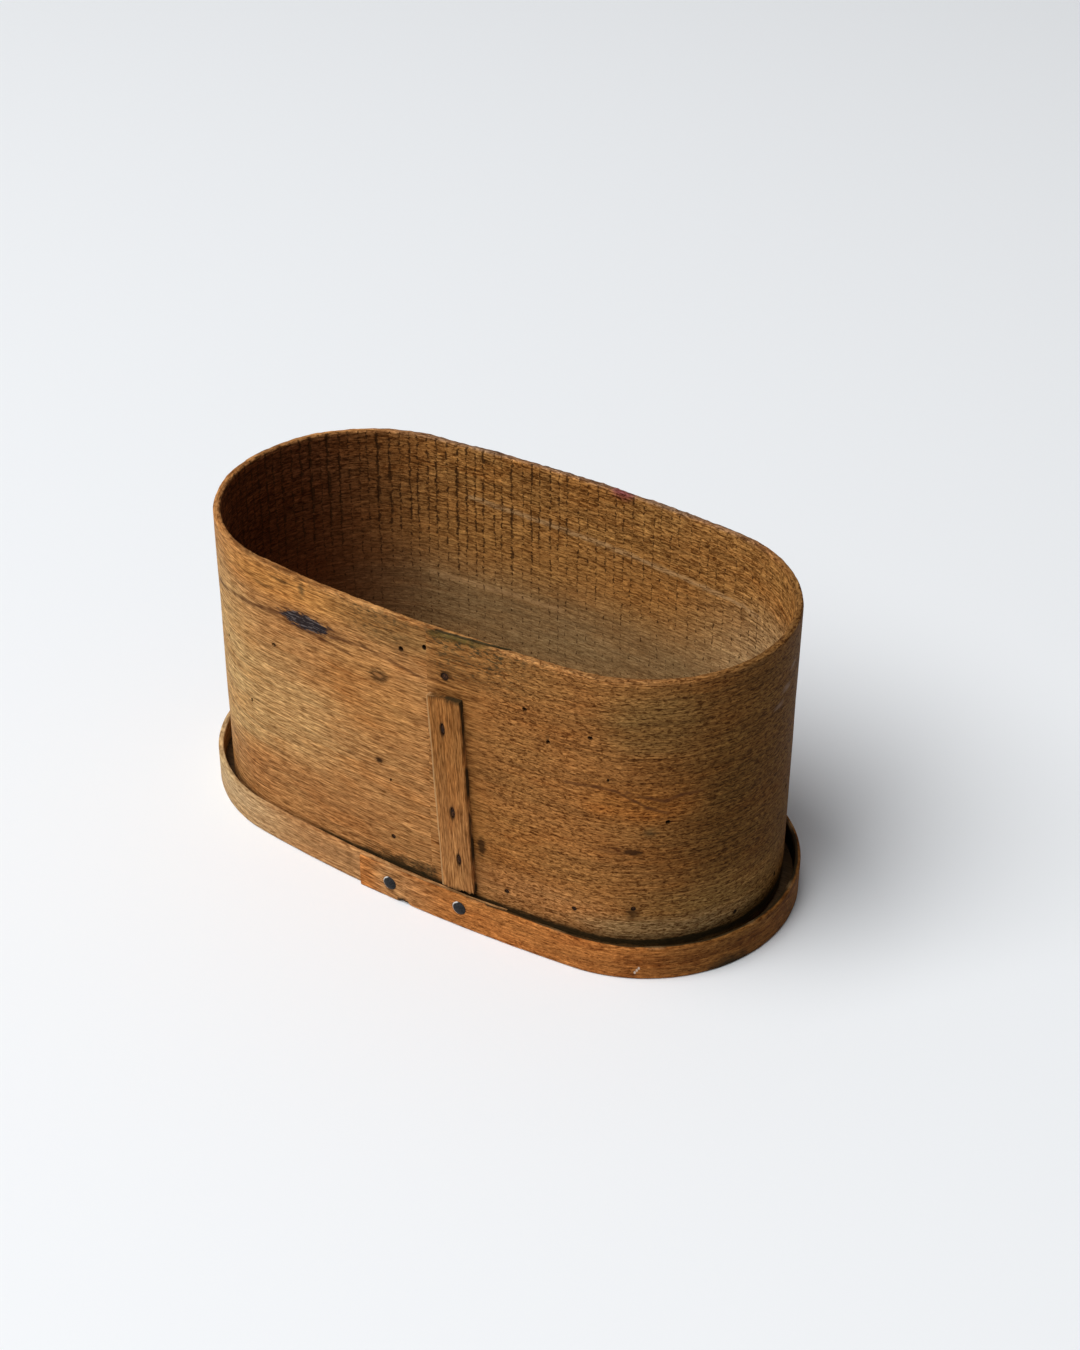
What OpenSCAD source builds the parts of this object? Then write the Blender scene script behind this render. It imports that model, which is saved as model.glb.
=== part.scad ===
// Oval bentwood butter pot, standing in its own lid, which lies upside down under it like a tray.
// Millimetres, +Z up, X along the oval. The origin is on the table, under the middle of the lid.

/* [Pot] */
// Outside length of the pot's band
pot_length = 271; // [220:1:330]
// Outside width of the pot's band
pot_width = 139; // [110:1:170]
// How much smaller the end radius is than half the width, which bows the long sides out
pot_tuck = 4; // [2:0.5:8]
// Height of the pot's band
pot_height = 138; // [100:1:180]
// Thickness of the pot's band
pot_wall = 3.4; // [2:0.1:4]

/* [Seam of the pot] */
// Where the outer end of the band lies, right of the middle of the front
seam_x = 11; // [0:1:30]
// Length of the lap, from the outer end to the inner end
seam_lap = 37; // [25:1:50]
// How far the outer end stands proud of the band
seam_outer_step = 0.7; // [0.4:0.1:0.8]
// How far the inner end stands proud of the band's inside
seam_inner_step = 0.8; // [0.4:0.1:1.2]
// Length over which each end rises to its step
seam_rise = 60; // [45:1:80]

/* [Bottom board] */
// Thickness of the pot's bottom board
bottom_t = 18; // [10:1:20]
// Height of the board's underside above the foot of the band
bottom_recess = 10; // [4:1:16]

/* [Cleat] */
// Width of the cleat over the seam
cleat_w = 16; // [10:0.5:20]
// Distance of the cleat's top below the rim
cleat_drop = 29; // [20:1:40]
// Thickness of the cleat
cleat_t = 3.2; // [2:0.1:5]
// Where the middle of the cleat lies, right of the seam's outer end
cleat_offset = 12; // [11:0.5:20]
// How far the cleat's top leans to the left, in degrees
cleat_lean = 3.5; // [0:0.5:5]
// Gap between the cleat's lower end and the lid's hoop
cleat_foot_gap = 1.2; // [0.8:0.1:5]

/* [Nails and tacks] */
// Diameter of a nail's shank
nail_d = 1.6; // [1.2:0.1:2.2]
// Diameter of a round nail head
nail_head_d = 3.2; // [2.6:0.1:4]
// Thickness of a nail head
nail_head_t = 0.8; // [0.5:0.1:1]
// Length of a bottom nail
bottom_nail_l = 22; // [12:1:30]
// Length of a cleat nail's oblong head
cleat_nail_head_l = 4.6; // [3:0.1:6]
// Width of a cleat nail's oblong head
cleat_nail_head_w = 1.9; // [1.8:0.1:3]
// Height of the seam nail above the top of the cleat
seam_nail_rise = 8.5; // [4:0.5:14]
// Diameter of a tack's domed head
tack_head_d = 6.6; // [5:0.1:8]
// Height of a tack's domed head
tack_head_h = 1.3; // [0.8:0.1:2]

/* [Lid] */
// Height of the lid's hoop
lid_height = 16.5; // [12:0.5:30]
// Thickness of the lid's hoop
lid_wall = 2.6; // [2:0.1:4]
// Thickness of the lid's board
lid_board_t = 6; // [4:0.5:9]
// Gap between the pot and the hoop at each long side
lid_side_gap = 1.4; // [1.4:0.1:4]
// Gap between the pot and the hoop at each end
lid_end_gap = 5.8; // [2:0.1:8]
// How much smaller the hoop's end radius is than half its width
lid_tuck = 4; // [2:0.1:6]
// How far the lid is turned under the pot, in degrees
lid_turn = -1.1; // [-1.1:0.1:1.1]
// Where the outer end of the hoop lies, left of the middle of the front
lid_lap_x = 23; // [15:1:50]
// Length of the hoop's lap
lid_lap = 74; // [66:1:90]
// How far the hoop's outer end stands proud of the hoop
lid_step = 1.4; // [0.6:0.1:2]
// Length over which the hoop's outer end rises to its step
lid_rise = 98; // [85:1:100]
// Distance of the first tack from the hoop's outer end
tack_first = 16; // [8:1:20]
// Distance between the two tacks
tack_pitch = 36; // [25:1:40]

/* [Hidden] */

$fn = 240;
// Steps round the wide side arcs
side_fn = 1440;
// How far the side arcs stop short of the end discs' tangent points
blend = 2;
// Clearance round a nail's shank and head
nail_gap = 0.05;
// Gap between the two layers of a lap
lap_gap = 0.3;
// How far the gap of a lap runs on past each of its ends, as a share of the lap
lap_run_on = 0.2;
// How far a lap's turned layer runs on into the band, past the place where it starts to rise
layer_run_in = 3;
// Clearance round a board inside its band
board_gap = 0.1;
// Clearance between the foot of the pot and the lid's board
rest_gap = 0.3;
// Clearance between the cleat and the band
seat_gap = 0.03;
// How far a cutting shape runs past what it cuts
over = 1;

wood = "#a9713c";
dark_wood = "#8d5c30";
hoop_wood = "#a8652f";
iron = "#3b332e";

pot_z = lid_board_t + rest_gap;
bottom_z = pot_z + bottom_recess;
nail_row_z = bottom_z + bottom_t / 2;
cleat_foot_z = lid_height + cleat_foot_gap + cleat_w / 2 * sin(cleat_lean);
cleat_h = pot_z + pot_height - cleat_drop - cleat_foot_z;
cleat_mid_z = cleat_foot_z + cleat_h / 2;
cleat_x = seam_x + cleat_offset;
seam_nail_z = cleat_mid_z + cleat_h / 2 + seam_nail_rise;

// Bottom nails on the front: place right of the middle as a share of half the pot's length, and rise above
// the middle of the board as a share of half its thickness
front_nails = [[-0.068, 0.53], [0.353, -0.13], [0.584, 0.16]];
// Bottom nails along the back, in the same way
back_nails = [[-0.44, 0], [0, 0], [0.44, 0]];
// Bottom nails round the right-hand end: direction in degrees, and rise
right_nails = [[-60, 0.7], [-19, -0.75], [6.5, -0.46], [48, 0]];
// Bottom nails round the left-hand end: direction in degrees, and rise
left_nails = [[135, 0], [178, 0.12]];
// Cleat nails: height as a share of the cleat's half length, and shift across the cleat
cleat_nails = [[0.68, -1.2], [-0.17, 0.3], [-0.66, 1.6]];
// Tacks: rise above the middle of the hoop, as a share of half its height
tack_rises = [0, 0.25];

// An oval of four tangent arcs: length, width and tuck give its end radius, the end centres' distance from
// the middle, the side centres' distance from the middle, and half the angle of a side arc.
function end_r(o) = o[1] / 2 - o[2];
function end_x(o) = o[0] / 2 - end_r(o);
function side_y(o) = (pow(end_x(o), 2) - pow(o[2], 2)) / (2 * o[2]);
function side_r(o) = side_y(o) + o[1] / 2;
function side_half(o) = atan2(end_x(o), side_y(o));
function inset(o, t) = [o[0] - 2 * t, o[1] - 2 * t, o[2]];

// Place along the front or the back, and height, of a bottom nail
function nail_x(n) = n[0] * pot_length / 2;
function nail_z(n) = nail_row_z + n[1] * bottom_t / 2;

// Direction, from the front arc's centre, of the point at x on the front of an oval
function front_angle(o, x) = 270 + asin(x / side_r(o));
function front_point(o, x, t = 0) =
    [0, side_y(o), 0] + (side_r(o) - t) * [cos(front_angle(o, x)), sin(front_angle(o, x)), 0];

pot_oval = [pot_length, pot_width, pot_tuck];
lid_oval = [pot_length + 2 * (lid_end_gap + lid_wall), pot_width + 2 * (lid_side_gap + lid_wall), lid_tuck];

// The plan of an oval: the middle between its two side arcs, and a disc at each end
module oval_plan(o) {
    reach = end_x(o) + end_r(o) * sin(side_half(o)) - blend;
    intersection() {
        translate([0, side_y(o)])
            circle(r = side_r(o), $fn = side_fn);
        translate([0, -side_y(o)])
            circle(r = side_r(o), $fn = side_fn);
        square([2 * reach, 2 * o[1]], center = true);
    }
    for (side = [-1, 1])
        translate([side * end_x(o), 0])
            circle(r = end_r(o));
}

// The plan of a stretch along an oval's front arc, from x0 to x1 and between two depths below the arc
module front_plan(o, x0, x1, depth0, depth1) {
    side = 2 * side_r(o);
    translate([0, side_y(o)])
        intersection() {
            difference() {
                circle(r = side_r(o) - depth0, $fn = side_fn);
                circle(r = side_r(o) - depth1, $fn = side_fn);
            }
            polygon([[0, 0],
                     side * [cos(front_angle(o, x0)), sin(front_angle(o, x0))],
                     side * [cos(front_angle(o, x1)), sin(front_angle(o, x1))]]);
        }
}

// Turns children about a point on an oval's front, at x and a depth below the arc
module turn_at(o, x, depth, angle) {
    pivot = front_point(o, x, depth);
    translate(pivot)
        rotate([0, 0, angle])
            translate(-pivot)
                children();
}

// Turns a lap's outer layer outwards about the place where it starts to rise
module outer_turn(o, x, rise, step)
    turn_at(o, x + rise, 0, asin(step / rise))
        children();

// What the outer end of a lap, which starts at x, adds outside the oval
module outer_end_plan(o, x, rise, step, t)
    outer_turn(o, x, rise, step)
        front_plan(o, x, x + rise + layer_run_in, 0, 2 * t);

// What the inner end of a lap, which stops at x, adds inside the band
module inner_end_plan(o, x, rise, step, t)
    turn_at(o, x - rise, t, asin(step / rise))
        front_plan(o, x - rise - layer_run_in, x, -t, t);

// The slanting seam between the two layers, from the outer face at x to the inner face at x + lap
module seam_plan(o, x, lap, t) {
    run_on = lap * lap_run_on;
    turn_at(o, x + lap / 2, t / 2, atan(t / lap))
        front_plan(o, x - run_on, x + lap + run_on, (t - lap_gap) / 2, (t + lap_gap) / 2);
}

// A bent strip: an oval wall whose two tapered ends lap at the front
module lapped_strip(o, t, h, x, lap, rise, outer_step, inner_step)
    linear_extrude(h)
        difference() {
            union() {
                oval_plan(o);
                outer_end_plan(o, x, rise, outer_step, t);
            }
            difference() {
                oval_plan(inset(o, t));
                if (inner_step > 0)
                    inner_end_plan(o, x + lap, rise, inner_step, t);
            }
            seam_plan(o, x, lap, t);
        }

// Stands children on the outside of an oval at x on its front, with local +X pointing outwards
module on_front(o, x, z)
    translate(front_point(o, x) + [0, 0, z])
        rotate([0, 0, front_angle(o, x)])
            children();

// The same at a direction round the right-hand or left-hand end
module on_end(o, angle, z)
    translate([sign(cos(angle)) * end_x(o), 0, z])
        rotate([0, 0, angle])
            translate([end_r(o), 0, 0])
                children();

// The same at x on the back
module on_back(o, x, z)
    rotate([0, 0, 180])
        on_front(o, -x, z)
            children();

// A round nail along local X, its head's outer face at 0, grown all round by a clearance
module nail(length, grow = 0) {
    rotate([0, 90, 0]) {
        translate([0, 0, -length - grow])
            cylinder(d = nail_d + 2 * grow, h = length + grow);
        translate([0, 0, -nail_head_t - grow])
            cylinder(d = nail_head_d + 2 * grow, h = nail_head_t + grow + (grow > 0 ? over : 0));
    }
}

// Places a child at every bottom nail
module each_bottom_nail() {
    for (n = front_nails)
        if (nail_x(n) > seam_x && nail_x(n) < seam_x + seam_rise)
            outer_turn(pot_oval, seam_x, seam_rise, seam_outer_step)
                on_front(pot_oval, nail_x(n), nail_z(n))
                    children();
        else
            on_front(pot_oval, nail_x(n), nail_z(n))
                children();
    for (n = back_nails)
        on_back(pot_oval, nail_x(n), nail_z(n))
            children();
    for (n = concat(right_nails, left_nails))
        on_end(pot_oval, n[0], nail_z(n))
            children();
}

// Places a child on the front of the cleat's bed, turned with the lap and leaned with the cleat
module on_cleat(across = 0, up = 0)
    outer_turn(pot_oval, seam_x, seam_rise, seam_outer_step)
        on_front(pot_oval, cleat_x, cleat_mid_z)
            rotate([cleat_lean, 0, 0])
                translate([0, across, up])
                    children();

// A cleat nail along local X, its oblong head's outer face flush with the cleat
module cleat_nail(grow = 0) {
    length = cleat_t + pot_wall;
    translate([cleat_t, 0, 0]) {
        rotate([0, 90, 0])
            translate([0, 0, -length - grow])
                cylinder(d = nail_d + 2 * grow, h = length + grow);
        translate([-nail_head_t - grow, -cleat_nail_head_w / 2 - grow, -cleat_nail_head_l / 2 - grow])
            cube([nail_head_t + grow + (grow > 0 ? over : 0), cleat_nail_head_w + 2 * grow,
                  cleat_nail_head_l + 2 * grow]);
    }
}

module each_cleat_nail()
    for (n = cleat_nails)
        on_cleat(n[1], n[0] * cleat_h / 2)
            children();

// The seam nail goes through the lap, above the cleat
module on_seam_nail()
    outer_turn(pot_oval, seam_x, seam_rise, seam_outer_step)
        on_front(pot_oval, cleat_x - tan(cleat_lean) * (cleat_h / 2 + seam_nail_rise), seam_nail_z)
            children();

// Everything on the lid is turned under the pot
module lid_place()
    rotate([0, 0, lid_turn])
        children();

// A tack along local X: a domed head on the hoop's face, and a shank that ends in the lap's inner layer
module tack(grow = 0) {
    dome_r = (pow(tack_head_d / 2, 2) + pow(tack_head_h, 2)) / (2 * tack_head_h);
    shank = lid_wall + lap_gap;
    if (grow == 0)
        rotate([0, 90, 0])
            rotate_extrude()
                intersection() {
                    translate([0, tack_head_h - dome_r])
                        circle(r = dome_r);
                    square([tack_head_d, tack_head_d]);
                }
    rotate([0, 90, 0])
        translate([0, 0, -shank])
            cylinder(d = nail_d + 2 * grow, h = shank + tack_head_h / 2);
}

module each_tack()
    for (i = [0 : len(tack_rises) - 1])
        outer_turn(lid_oval, -lid_lap_x, lid_rise, lid_step)
            on_front(lid_oval, tack_first - lid_lap_x + i * tack_pitch,
                     lid_height / 2 * (1 + tack_rises[i]))
                children();

module pot_band()
    color(wood)
        difference() {
            translate([0, 0, pot_z])
                lapped_strip(pot_oval, pot_wall, pot_height, seam_x, seam_lap, seam_rise,
                             seam_outer_step, seam_inner_step);
            each_bottom_nail()
                nail(bottom_nail_l, nail_gap);
            each_cleat_nail()
                cleat_nail(nail_gap);
            on_seam_nail()
                nail(pot_wall + seam_outer_step, nail_gap);
        }

module pot_bottom()
    color(dark_wood)
        difference() {
            translate([0, 0, bottom_z])
                linear_extrude(bottom_t)
                    difference() {
                        oval_plan(inset(pot_oval, pot_wall + board_gap));
                        inner_end_plan(pot_oval, seam_x + seam_lap + board_gap, seam_rise, seam_inner_step,
                                       pot_wall + board_gap);
                    }
            each_bottom_nail()
                nail(bottom_nail_l, nail_gap);
        }

module pot_bottom_nails()
    color(iron)
        each_bottom_nail()
            nail(bottom_nail_l);

module seam_cleat()
    color(wood)
        difference() {
            on_cleat()
                translate([seat_gap, -cleat_w / 2, -cleat_h / 2])
                    cube([cleat_t - seat_gap, cleat_w, cleat_h]);
            each_cleat_nail()
                cleat_nail(nail_gap);
        }

module seam_cleat_nails()
    color(iron)
        each_cleat_nail()
            cleat_nail();

module seam_nail()
    color(iron)
        on_seam_nail()
            nail(pot_wall + seam_outer_step);

module lid_hoop()
    color(hoop_wood)
        lid_place()
            difference() {
                lapped_strip(lid_oval, lid_wall, lid_height, -lid_lap_x, lid_lap, lid_rise, lid_step, 0);
                each_tack()
                    tack(nail_gap);
            }

module lid_board()
    color(dark_wood)
        lid_place()
            linear_extrude(lid_board_t)
                oval_plan(inset(lid_oval, lid_wall + board_gap));

module lid_tacks()
    color(iron)
        lid_place()
            each_tack()
                tack();

pot_band();
pot_bottom();
pot_bottom_nails();
seam_cleat();
seam_cleat_nails();
seam_nail();
lid_hoop();
lid_board();
lid_tacks();
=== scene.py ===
"""An old oval bentwood butter pot, standing in its own upturned lid, on a pale floor in window light."""
import math

import bmesh
import bpy
import numpy as np
from mathutils import Matrix, Vector

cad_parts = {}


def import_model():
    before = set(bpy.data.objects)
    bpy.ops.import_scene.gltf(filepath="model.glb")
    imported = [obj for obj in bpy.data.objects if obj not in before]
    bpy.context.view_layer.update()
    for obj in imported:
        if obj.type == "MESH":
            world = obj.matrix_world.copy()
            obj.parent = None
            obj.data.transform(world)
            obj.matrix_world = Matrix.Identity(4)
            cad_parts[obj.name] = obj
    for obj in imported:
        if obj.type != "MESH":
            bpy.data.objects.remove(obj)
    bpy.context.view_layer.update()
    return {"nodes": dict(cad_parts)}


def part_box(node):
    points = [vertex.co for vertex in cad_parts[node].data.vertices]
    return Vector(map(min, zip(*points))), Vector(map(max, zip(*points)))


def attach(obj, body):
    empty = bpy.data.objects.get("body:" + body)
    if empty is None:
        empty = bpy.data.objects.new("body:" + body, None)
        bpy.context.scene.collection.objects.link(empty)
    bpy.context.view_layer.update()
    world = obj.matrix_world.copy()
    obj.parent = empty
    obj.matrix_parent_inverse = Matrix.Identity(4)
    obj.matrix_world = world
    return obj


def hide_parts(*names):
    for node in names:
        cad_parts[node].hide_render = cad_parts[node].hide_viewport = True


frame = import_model()

MM = 0.001

# Sizes of the bent strips, in millimetres, as the frame's nodes have them

POT_LOW, POT_HIGH = (np.array(corner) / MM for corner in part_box("pot_band"))
_, LID_HIGH = (np.array(corner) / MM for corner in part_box("lid_hoop"))
FOOT_Z = POT_LOW[2]
RIM_Z = POT_HIGH[2]
POT_LENGTH = POT_HIGH[0] - POT_LOW[0]
LID_HEIGHT = LID_HIGH[2]
POT_WALL = 3.4
LID_WALL = 2.6
# Depth below the oval down to which a place counts as outside
OUTER_DEPTH = 1.3
POT_TUCK = 4.0
LID_TUCK = 4.0
LID_LENGTH = 287.8
LID_WIDTH = 147.0
LID_TURN = math.radians(-1.1)
LAP_GAP = 0.3

SEAM_X = 11.0
SEAM_LAP = 37.0
SEAM_RISE = 60.0
SEAM_OUTER_STEP = 0.7
SEAM_INNER_STEP = 0.8

LID_LAP_X = -23.0
LID_LAP = 74.0
LID_RISE = 98.0
LID_STEP = 1.4
TACK_FIRST = 16.0
TACK_PITCH = 36.0
TACK_RISES = (0.0, 0.25)
TACK_R = 3.3
TACK_H = 1.3

CLEAT_W = 16.0
CLEAT_T = 3.2
CLEAT_X = 23.0
CLEAT_LEAN = math.radians(3.5)
CLEAT_TOP_Z = RIM_Z - 29.0
CLEAT_FOOT_Z = LID_HEIGHT + 1.2 + CLEAT_W / 2 * math.sin(CLEAT_LEAN)
CLEAT_H = CLEAT_TOP_Z - CLEAT_FOOT_Z
CLEAT_NAILS = ((0.68, -1.2), (-0.17, 0.3), (-0.66, 1.6))
SEAM_NAIL_RISE = 8.5
BOARD_T = 18.0
NAIL_ROW_Z = FOOT_Z + 10.0 + BOARD_T / 2


class Oval:
    """A plan of four tangent arcs. Lengths along it run from the middle of the front, to the right first."""

    SEARCH_STEP = 0.25

    def __init__(self, length, width, tuck):
        self.end_r = width / 2 - tuck
        self.end_x = length / 2 - self.end_r
        self.side_y = (self.end_x**2 - tuck**2) / (2 * tuck)
        self.side_r = self.side_y + width / 2
        self.half = math.atan2(self.end_x, self.side_y)
        self.side_half = self.side_r * self.half
        self.end_len = self.end_r * (math.pi - 2 * self.half)
        self.around = 4 * self.side_half + 2 * self.end_len

    def at(self, s):
        """Points and outward directions at lengths s, as two arrays of x and y."""
        s = np.mod(np.asarray(s, float) + self.side_half, self.around)
        front = 2 * self.side_half
        right = front + self.end_len
        back = right + front
        turn = np.select(
            [s < front, s < right, s < back],
            [-self.half + s / self.side_r,
             self.half + (s - front) / self.end_r,
             math.pi - self.half + (s - right) / self.side_r],
            math.pi + self.half + (s - back) / self.end_r)
        normal = np.stack([np.sin(turn), -np.cos(turn)], -1)
        on_front = s < front
        on_back = (s >= right) & (s < back)
        on_side = on_front | on_back
        centre_x = np.where(on_side, 0.0, np.where(s < right, self.end_x, -self.end_x))
        centre_y = np.where(on_front, self.side_y, np.where(on_back, -self.side_y, 0.0))
        radius = np.where(on_side, self.side_r, self.end_r)
        return np.stack([centre_x, centre_y], -1) + radius[..., None] * normal, normal

    def along(self, x, y):
        """Length at the place on the wall nearest to a point, from minus to plus half way round."""
        steps = np.arange(-self.around / 2, self.around / 2, self.SEARCH_STEP)
        points, _ = self.at(steps)
        return float(steps[np.hypot(points[:, 0] - x, points[:, 1] - y).argmin()])

    def front(self, x):
        """Length from the middle of the front to the place at x on it."""
        return self.side_r * math.asin(x / self.side_r)


pot = Oval(POT_LENGTH, 2 * POT_HIGH[1], POT_TUCK)
lid = Oval(LID_LENGTH, LID_WIDTH, LID_TUCK)
SEAM_START = pot.front(SEAM_X)
SEAM_END = SEAM_START + pot.around + SEAM_LAP
LID_START = lid.front(LID_LAP_X)
LID_END = LID_START + lid.around + LID_LAP
SEAM_SLACK = 0.5
WAVE_STRETCHES = (1.0, 0.61, 0.37)
WAVE_PEAK = 1.6


def strip_length(s):
    """Length from the lap's outer end, where the pot's strip starts, of one from the front's middle."""
    return s if s > SEAM_START - SEAM_SLACK else s + pot.around


def smooth(low, high, value):
    """0 below low, 1 above high, and an S-curve between."""
    t = np.clip((np.asarray(value, float) - low) / (high - low), 0, 1)
    return t * t * (3 - 2 * t)


def hump(value, middle, half):
    """1 at the middle, falling off to both sides over about half."""
    return np.exp(-((value - middle) / half) ** 2)


def wobble(t, period, seed):
    """A smooth wave without a visible period, between about -1 and 1."""
    draw = np.random.default_rng(seed)
    total = np.zeros_like(np.asarray(t, float))
    for stretch in WAVE_STRETCHES:
        shift = draw.uniform(0, 2 * np.pi)
        total += stretch * np.sin(2 * np.pi * np.asarray(t) / (period * stretch) + shift)
    return total / WAVE_PEAK


# Meshes

WOOD_SHARP = 38
# Rounded edges of a strip: steps of each, and the most that one takes of the thickness
ROUND_STEPS = 3
ROUND_MOST = 0.42
# A pit: start and end of its wall, edge of its dark colour (painted shade of the hollow), and its lip's
# place and half width, in radii
PIT_WALL = (0.55, 1.0)
PIT_DARK = (0.8, 1.15)
PIT_LIP = (1.25, 0.25)
PIT_LIP_H = 0.06


def new_object(name, mesh, body, slot, materials, *nodes, sharp=WOOD_SHARP):
    """Finishes a mesh and puts it into the scene on a body, in place of its CAD nodes."""
    finish_mesh(mesh, sharp)
    piece = bpy.data.objects.new(name, mesh)
    bpy.context.scene.collection.objects.link(piece)
    for material in materials:
        mesh.materials.append(material)
    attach(piece, body)
    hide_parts(*nodes)


def finish_mesh(mesh, sharp):
    """Outward faces, smooth shading, and sharp edges where faces meet at a steep angle."""
    work = bmesh.new()
    work.from_mesh(mesh)
    bmesh.ops.recalc_face_normals(work, faces=work.faces)
    for face in work.faces:
        face.smooth = True
    for edge in work.edges:
        edge.smooth = edge.calc_face_angle(0) < math.radians(sharp)
    work.to_mesh(mesh)
    work.free()
    mesh.update()


def store(mesh, **fields):
    """Stores fields on a mesh, each with one number or one vector per vertex."""
    for name, values in fields.items():
        values = np.asarray(values, np.float32)
        kind, field = ("FLOAT", "value") if values.ndim == 1 else ("FLOAT_VECTOR", "vector")
        attribute = mesh.attributes.new(name, kind, "POINT")
        attribute.data.foreach_set(field, values.ravel())


def read_grain(mesh):
    """The stored grain places of a mesh: length along the strip, height and depth, one row per vertex."""
    values = np.zeros(len(mesh.vertices) * 3, np.float32)
    mesh.attributes["grain"].data.foreach_get("vector", values)
    return values.reshape(-1, 3).astype(float)


def read_points(mesh):
    """The places of a mesh's vertices, in millimetres."""
    values = np.zeros(len(mesh.vertices) * 3, np.float32)
    mesh.vertices.foreach_get("co", values)
    return values.reshape(-1, 3).astype(float) / MM


def write_points(mesh, points):
    """Puts a mesh's vertices at places in millimetres."""
    mesh.vertices.foreach_set("co", (np.asarray(points) * MM).astype(np.float32).ravel())
    mesh.update()


def strip_mesh(name, oval, s, out, inside, foot, rim, rows, edge):
    """A bent strip with rounded edges. out and inside are the faces' offsets from the oval at each length s,
    foot and rim its heights there, rows the shares of the height, and edge the edges' radius."""
    radius = np.minimum(edge, ROUND_MOST * (out - inside))
    arc = np.linspace(0, math.pi / 2, ROUND_STEPS, False)
    sunk, raised = 1 - np.sin(arc), 1 - np.cos(arc)
    corner, wall = np.zeros(ROUND_STEPS), np.zeros(len(rows))
    inset = np.concatenate([sunk, wall, sunk[::-1]])
    low = np.concatenate([raised, wall + 1, corner])
    high = np.concatenate([corner, wall, -raised[::-1]])
    share = np.concatenate([corner, rows, corner + 1])
    both_edges = np.concatenate([corner, wall + 2, corner])
    height = (rim - foot)[None, :] - np.outer(both_edges, radius)
    z = foot[None, :] + np.outer(low, radius) + share[:, None] * height + np.outer(high, radius)
    outer = out[None, :] - np.outer(inset, radius)
    inner = inside[None, :] + np.outer(inset, radius)
    offset = np.concatenate([outer, inner[::-1]])
    level = np.concatenate([z, z[::-1]])
    around, columns = offset.shape
    plan, normal = oval.at(s)
    points = np.empty((around, columns, 3))
    points[..., :2] = plan[None] + normal[None] * offset[..., None]
    points[..., 2] = level
    number = np.arange(around * columns).reshape(around, columns)
    above = np.roll(number, -1, axis=0)
    quads = np.stack([number[:, :-1], number[:, 1:], above[:, 1:], above[:, :-1]], -1)
    faces = quads.reshape(-1, 4).tolist()
    for ring in (number[:, 0], number[:, -1]):
        faces += [[ring[j], ring[j + 1], ring[around - 2 - j], ring[around - 1 - j]]
                  for j in range(around // 2 - 1)]
    mesh = bpy.data.meshes.new(name)
    mesh.from_pydata((points.reshape(-1, 3) * MM).tolist(), [], faces)
    grain = np.stack([np.broadcast_to(s[None, :], offset.shape), level, -offset], -1)
    store(mesh, grain=grain.reshape(-1, 3))
    return mesh


def refine(mesh, pits, reach, cuts):
    """Splits the faces of the outer side that lie within reach of the pits."""
    work = bmesh.new()
    work.from_mesh(mesh)
    layer = work.verts.layers.float_vector["grain"]
    middles = []
    for face in work.faces:
        middles.append(sum((v[layer] for v in face.verts), Vector()) / len(face.verts))
    middles = np.array(middles)
    near = np.zeros(len(middles), bool)
    for length, height, half_s, half_z, _ in pits:
        size = max(half_s, half_z) + reach
        near |= np.hypot(middles[:, 0] - length, middles[:, 1] - height) < size
    near &= middles[:, 2] < OUTER_DEPTH
    work.faces.ensure_lookup_table()
    edges = {edge for i in np.nonzero(near)[0] for edge in work.faces[i].edges}
    bmesh.ops.subdivide_edges(work, edges=list(edges), cuts=cuts, use_grid_fill=True)
    work.to_mesh(mesh)
    work.free()


def press_pits(mesh, oval, pits, darkness=1.0):
    """Presses pits (length, height, half length, half height, depth) into the outer side, and marks them
    dark inside, as painted shade.
    """
    points = read_points(mesh)
    grain = read_grain(mesh)
    _, flat = oval.at(grain[:, 0])
    normals = np.column_stack([flat, np.zeros(len(flat))])
    dark = np.zeros(len(points))
    outer = grain[:, 2] < OUTER_DEPTH
    for length, height, half_s, half_z, depth in pits:
        away = np.hypot((grain[:, 0] - length) / half_s, (grain[:, 1] - height) / half_z)
        hole = np.where(outer, 1 - smooth(*PIT_WALL, away), 0)
        lip = np.where(outer, hump(away, *PIT_LIP), 0)
        points -= normals * (depth * hole - PIT_LIP_H * lip)[:, None]
        dark = np.maximum(dark, np.where(outer, 1 - smooth(*PIT_DARK, away), 0))
    write_points(mesh, points)
    store(mesh, pit=darkness * dark)


# Shader graphs

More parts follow.
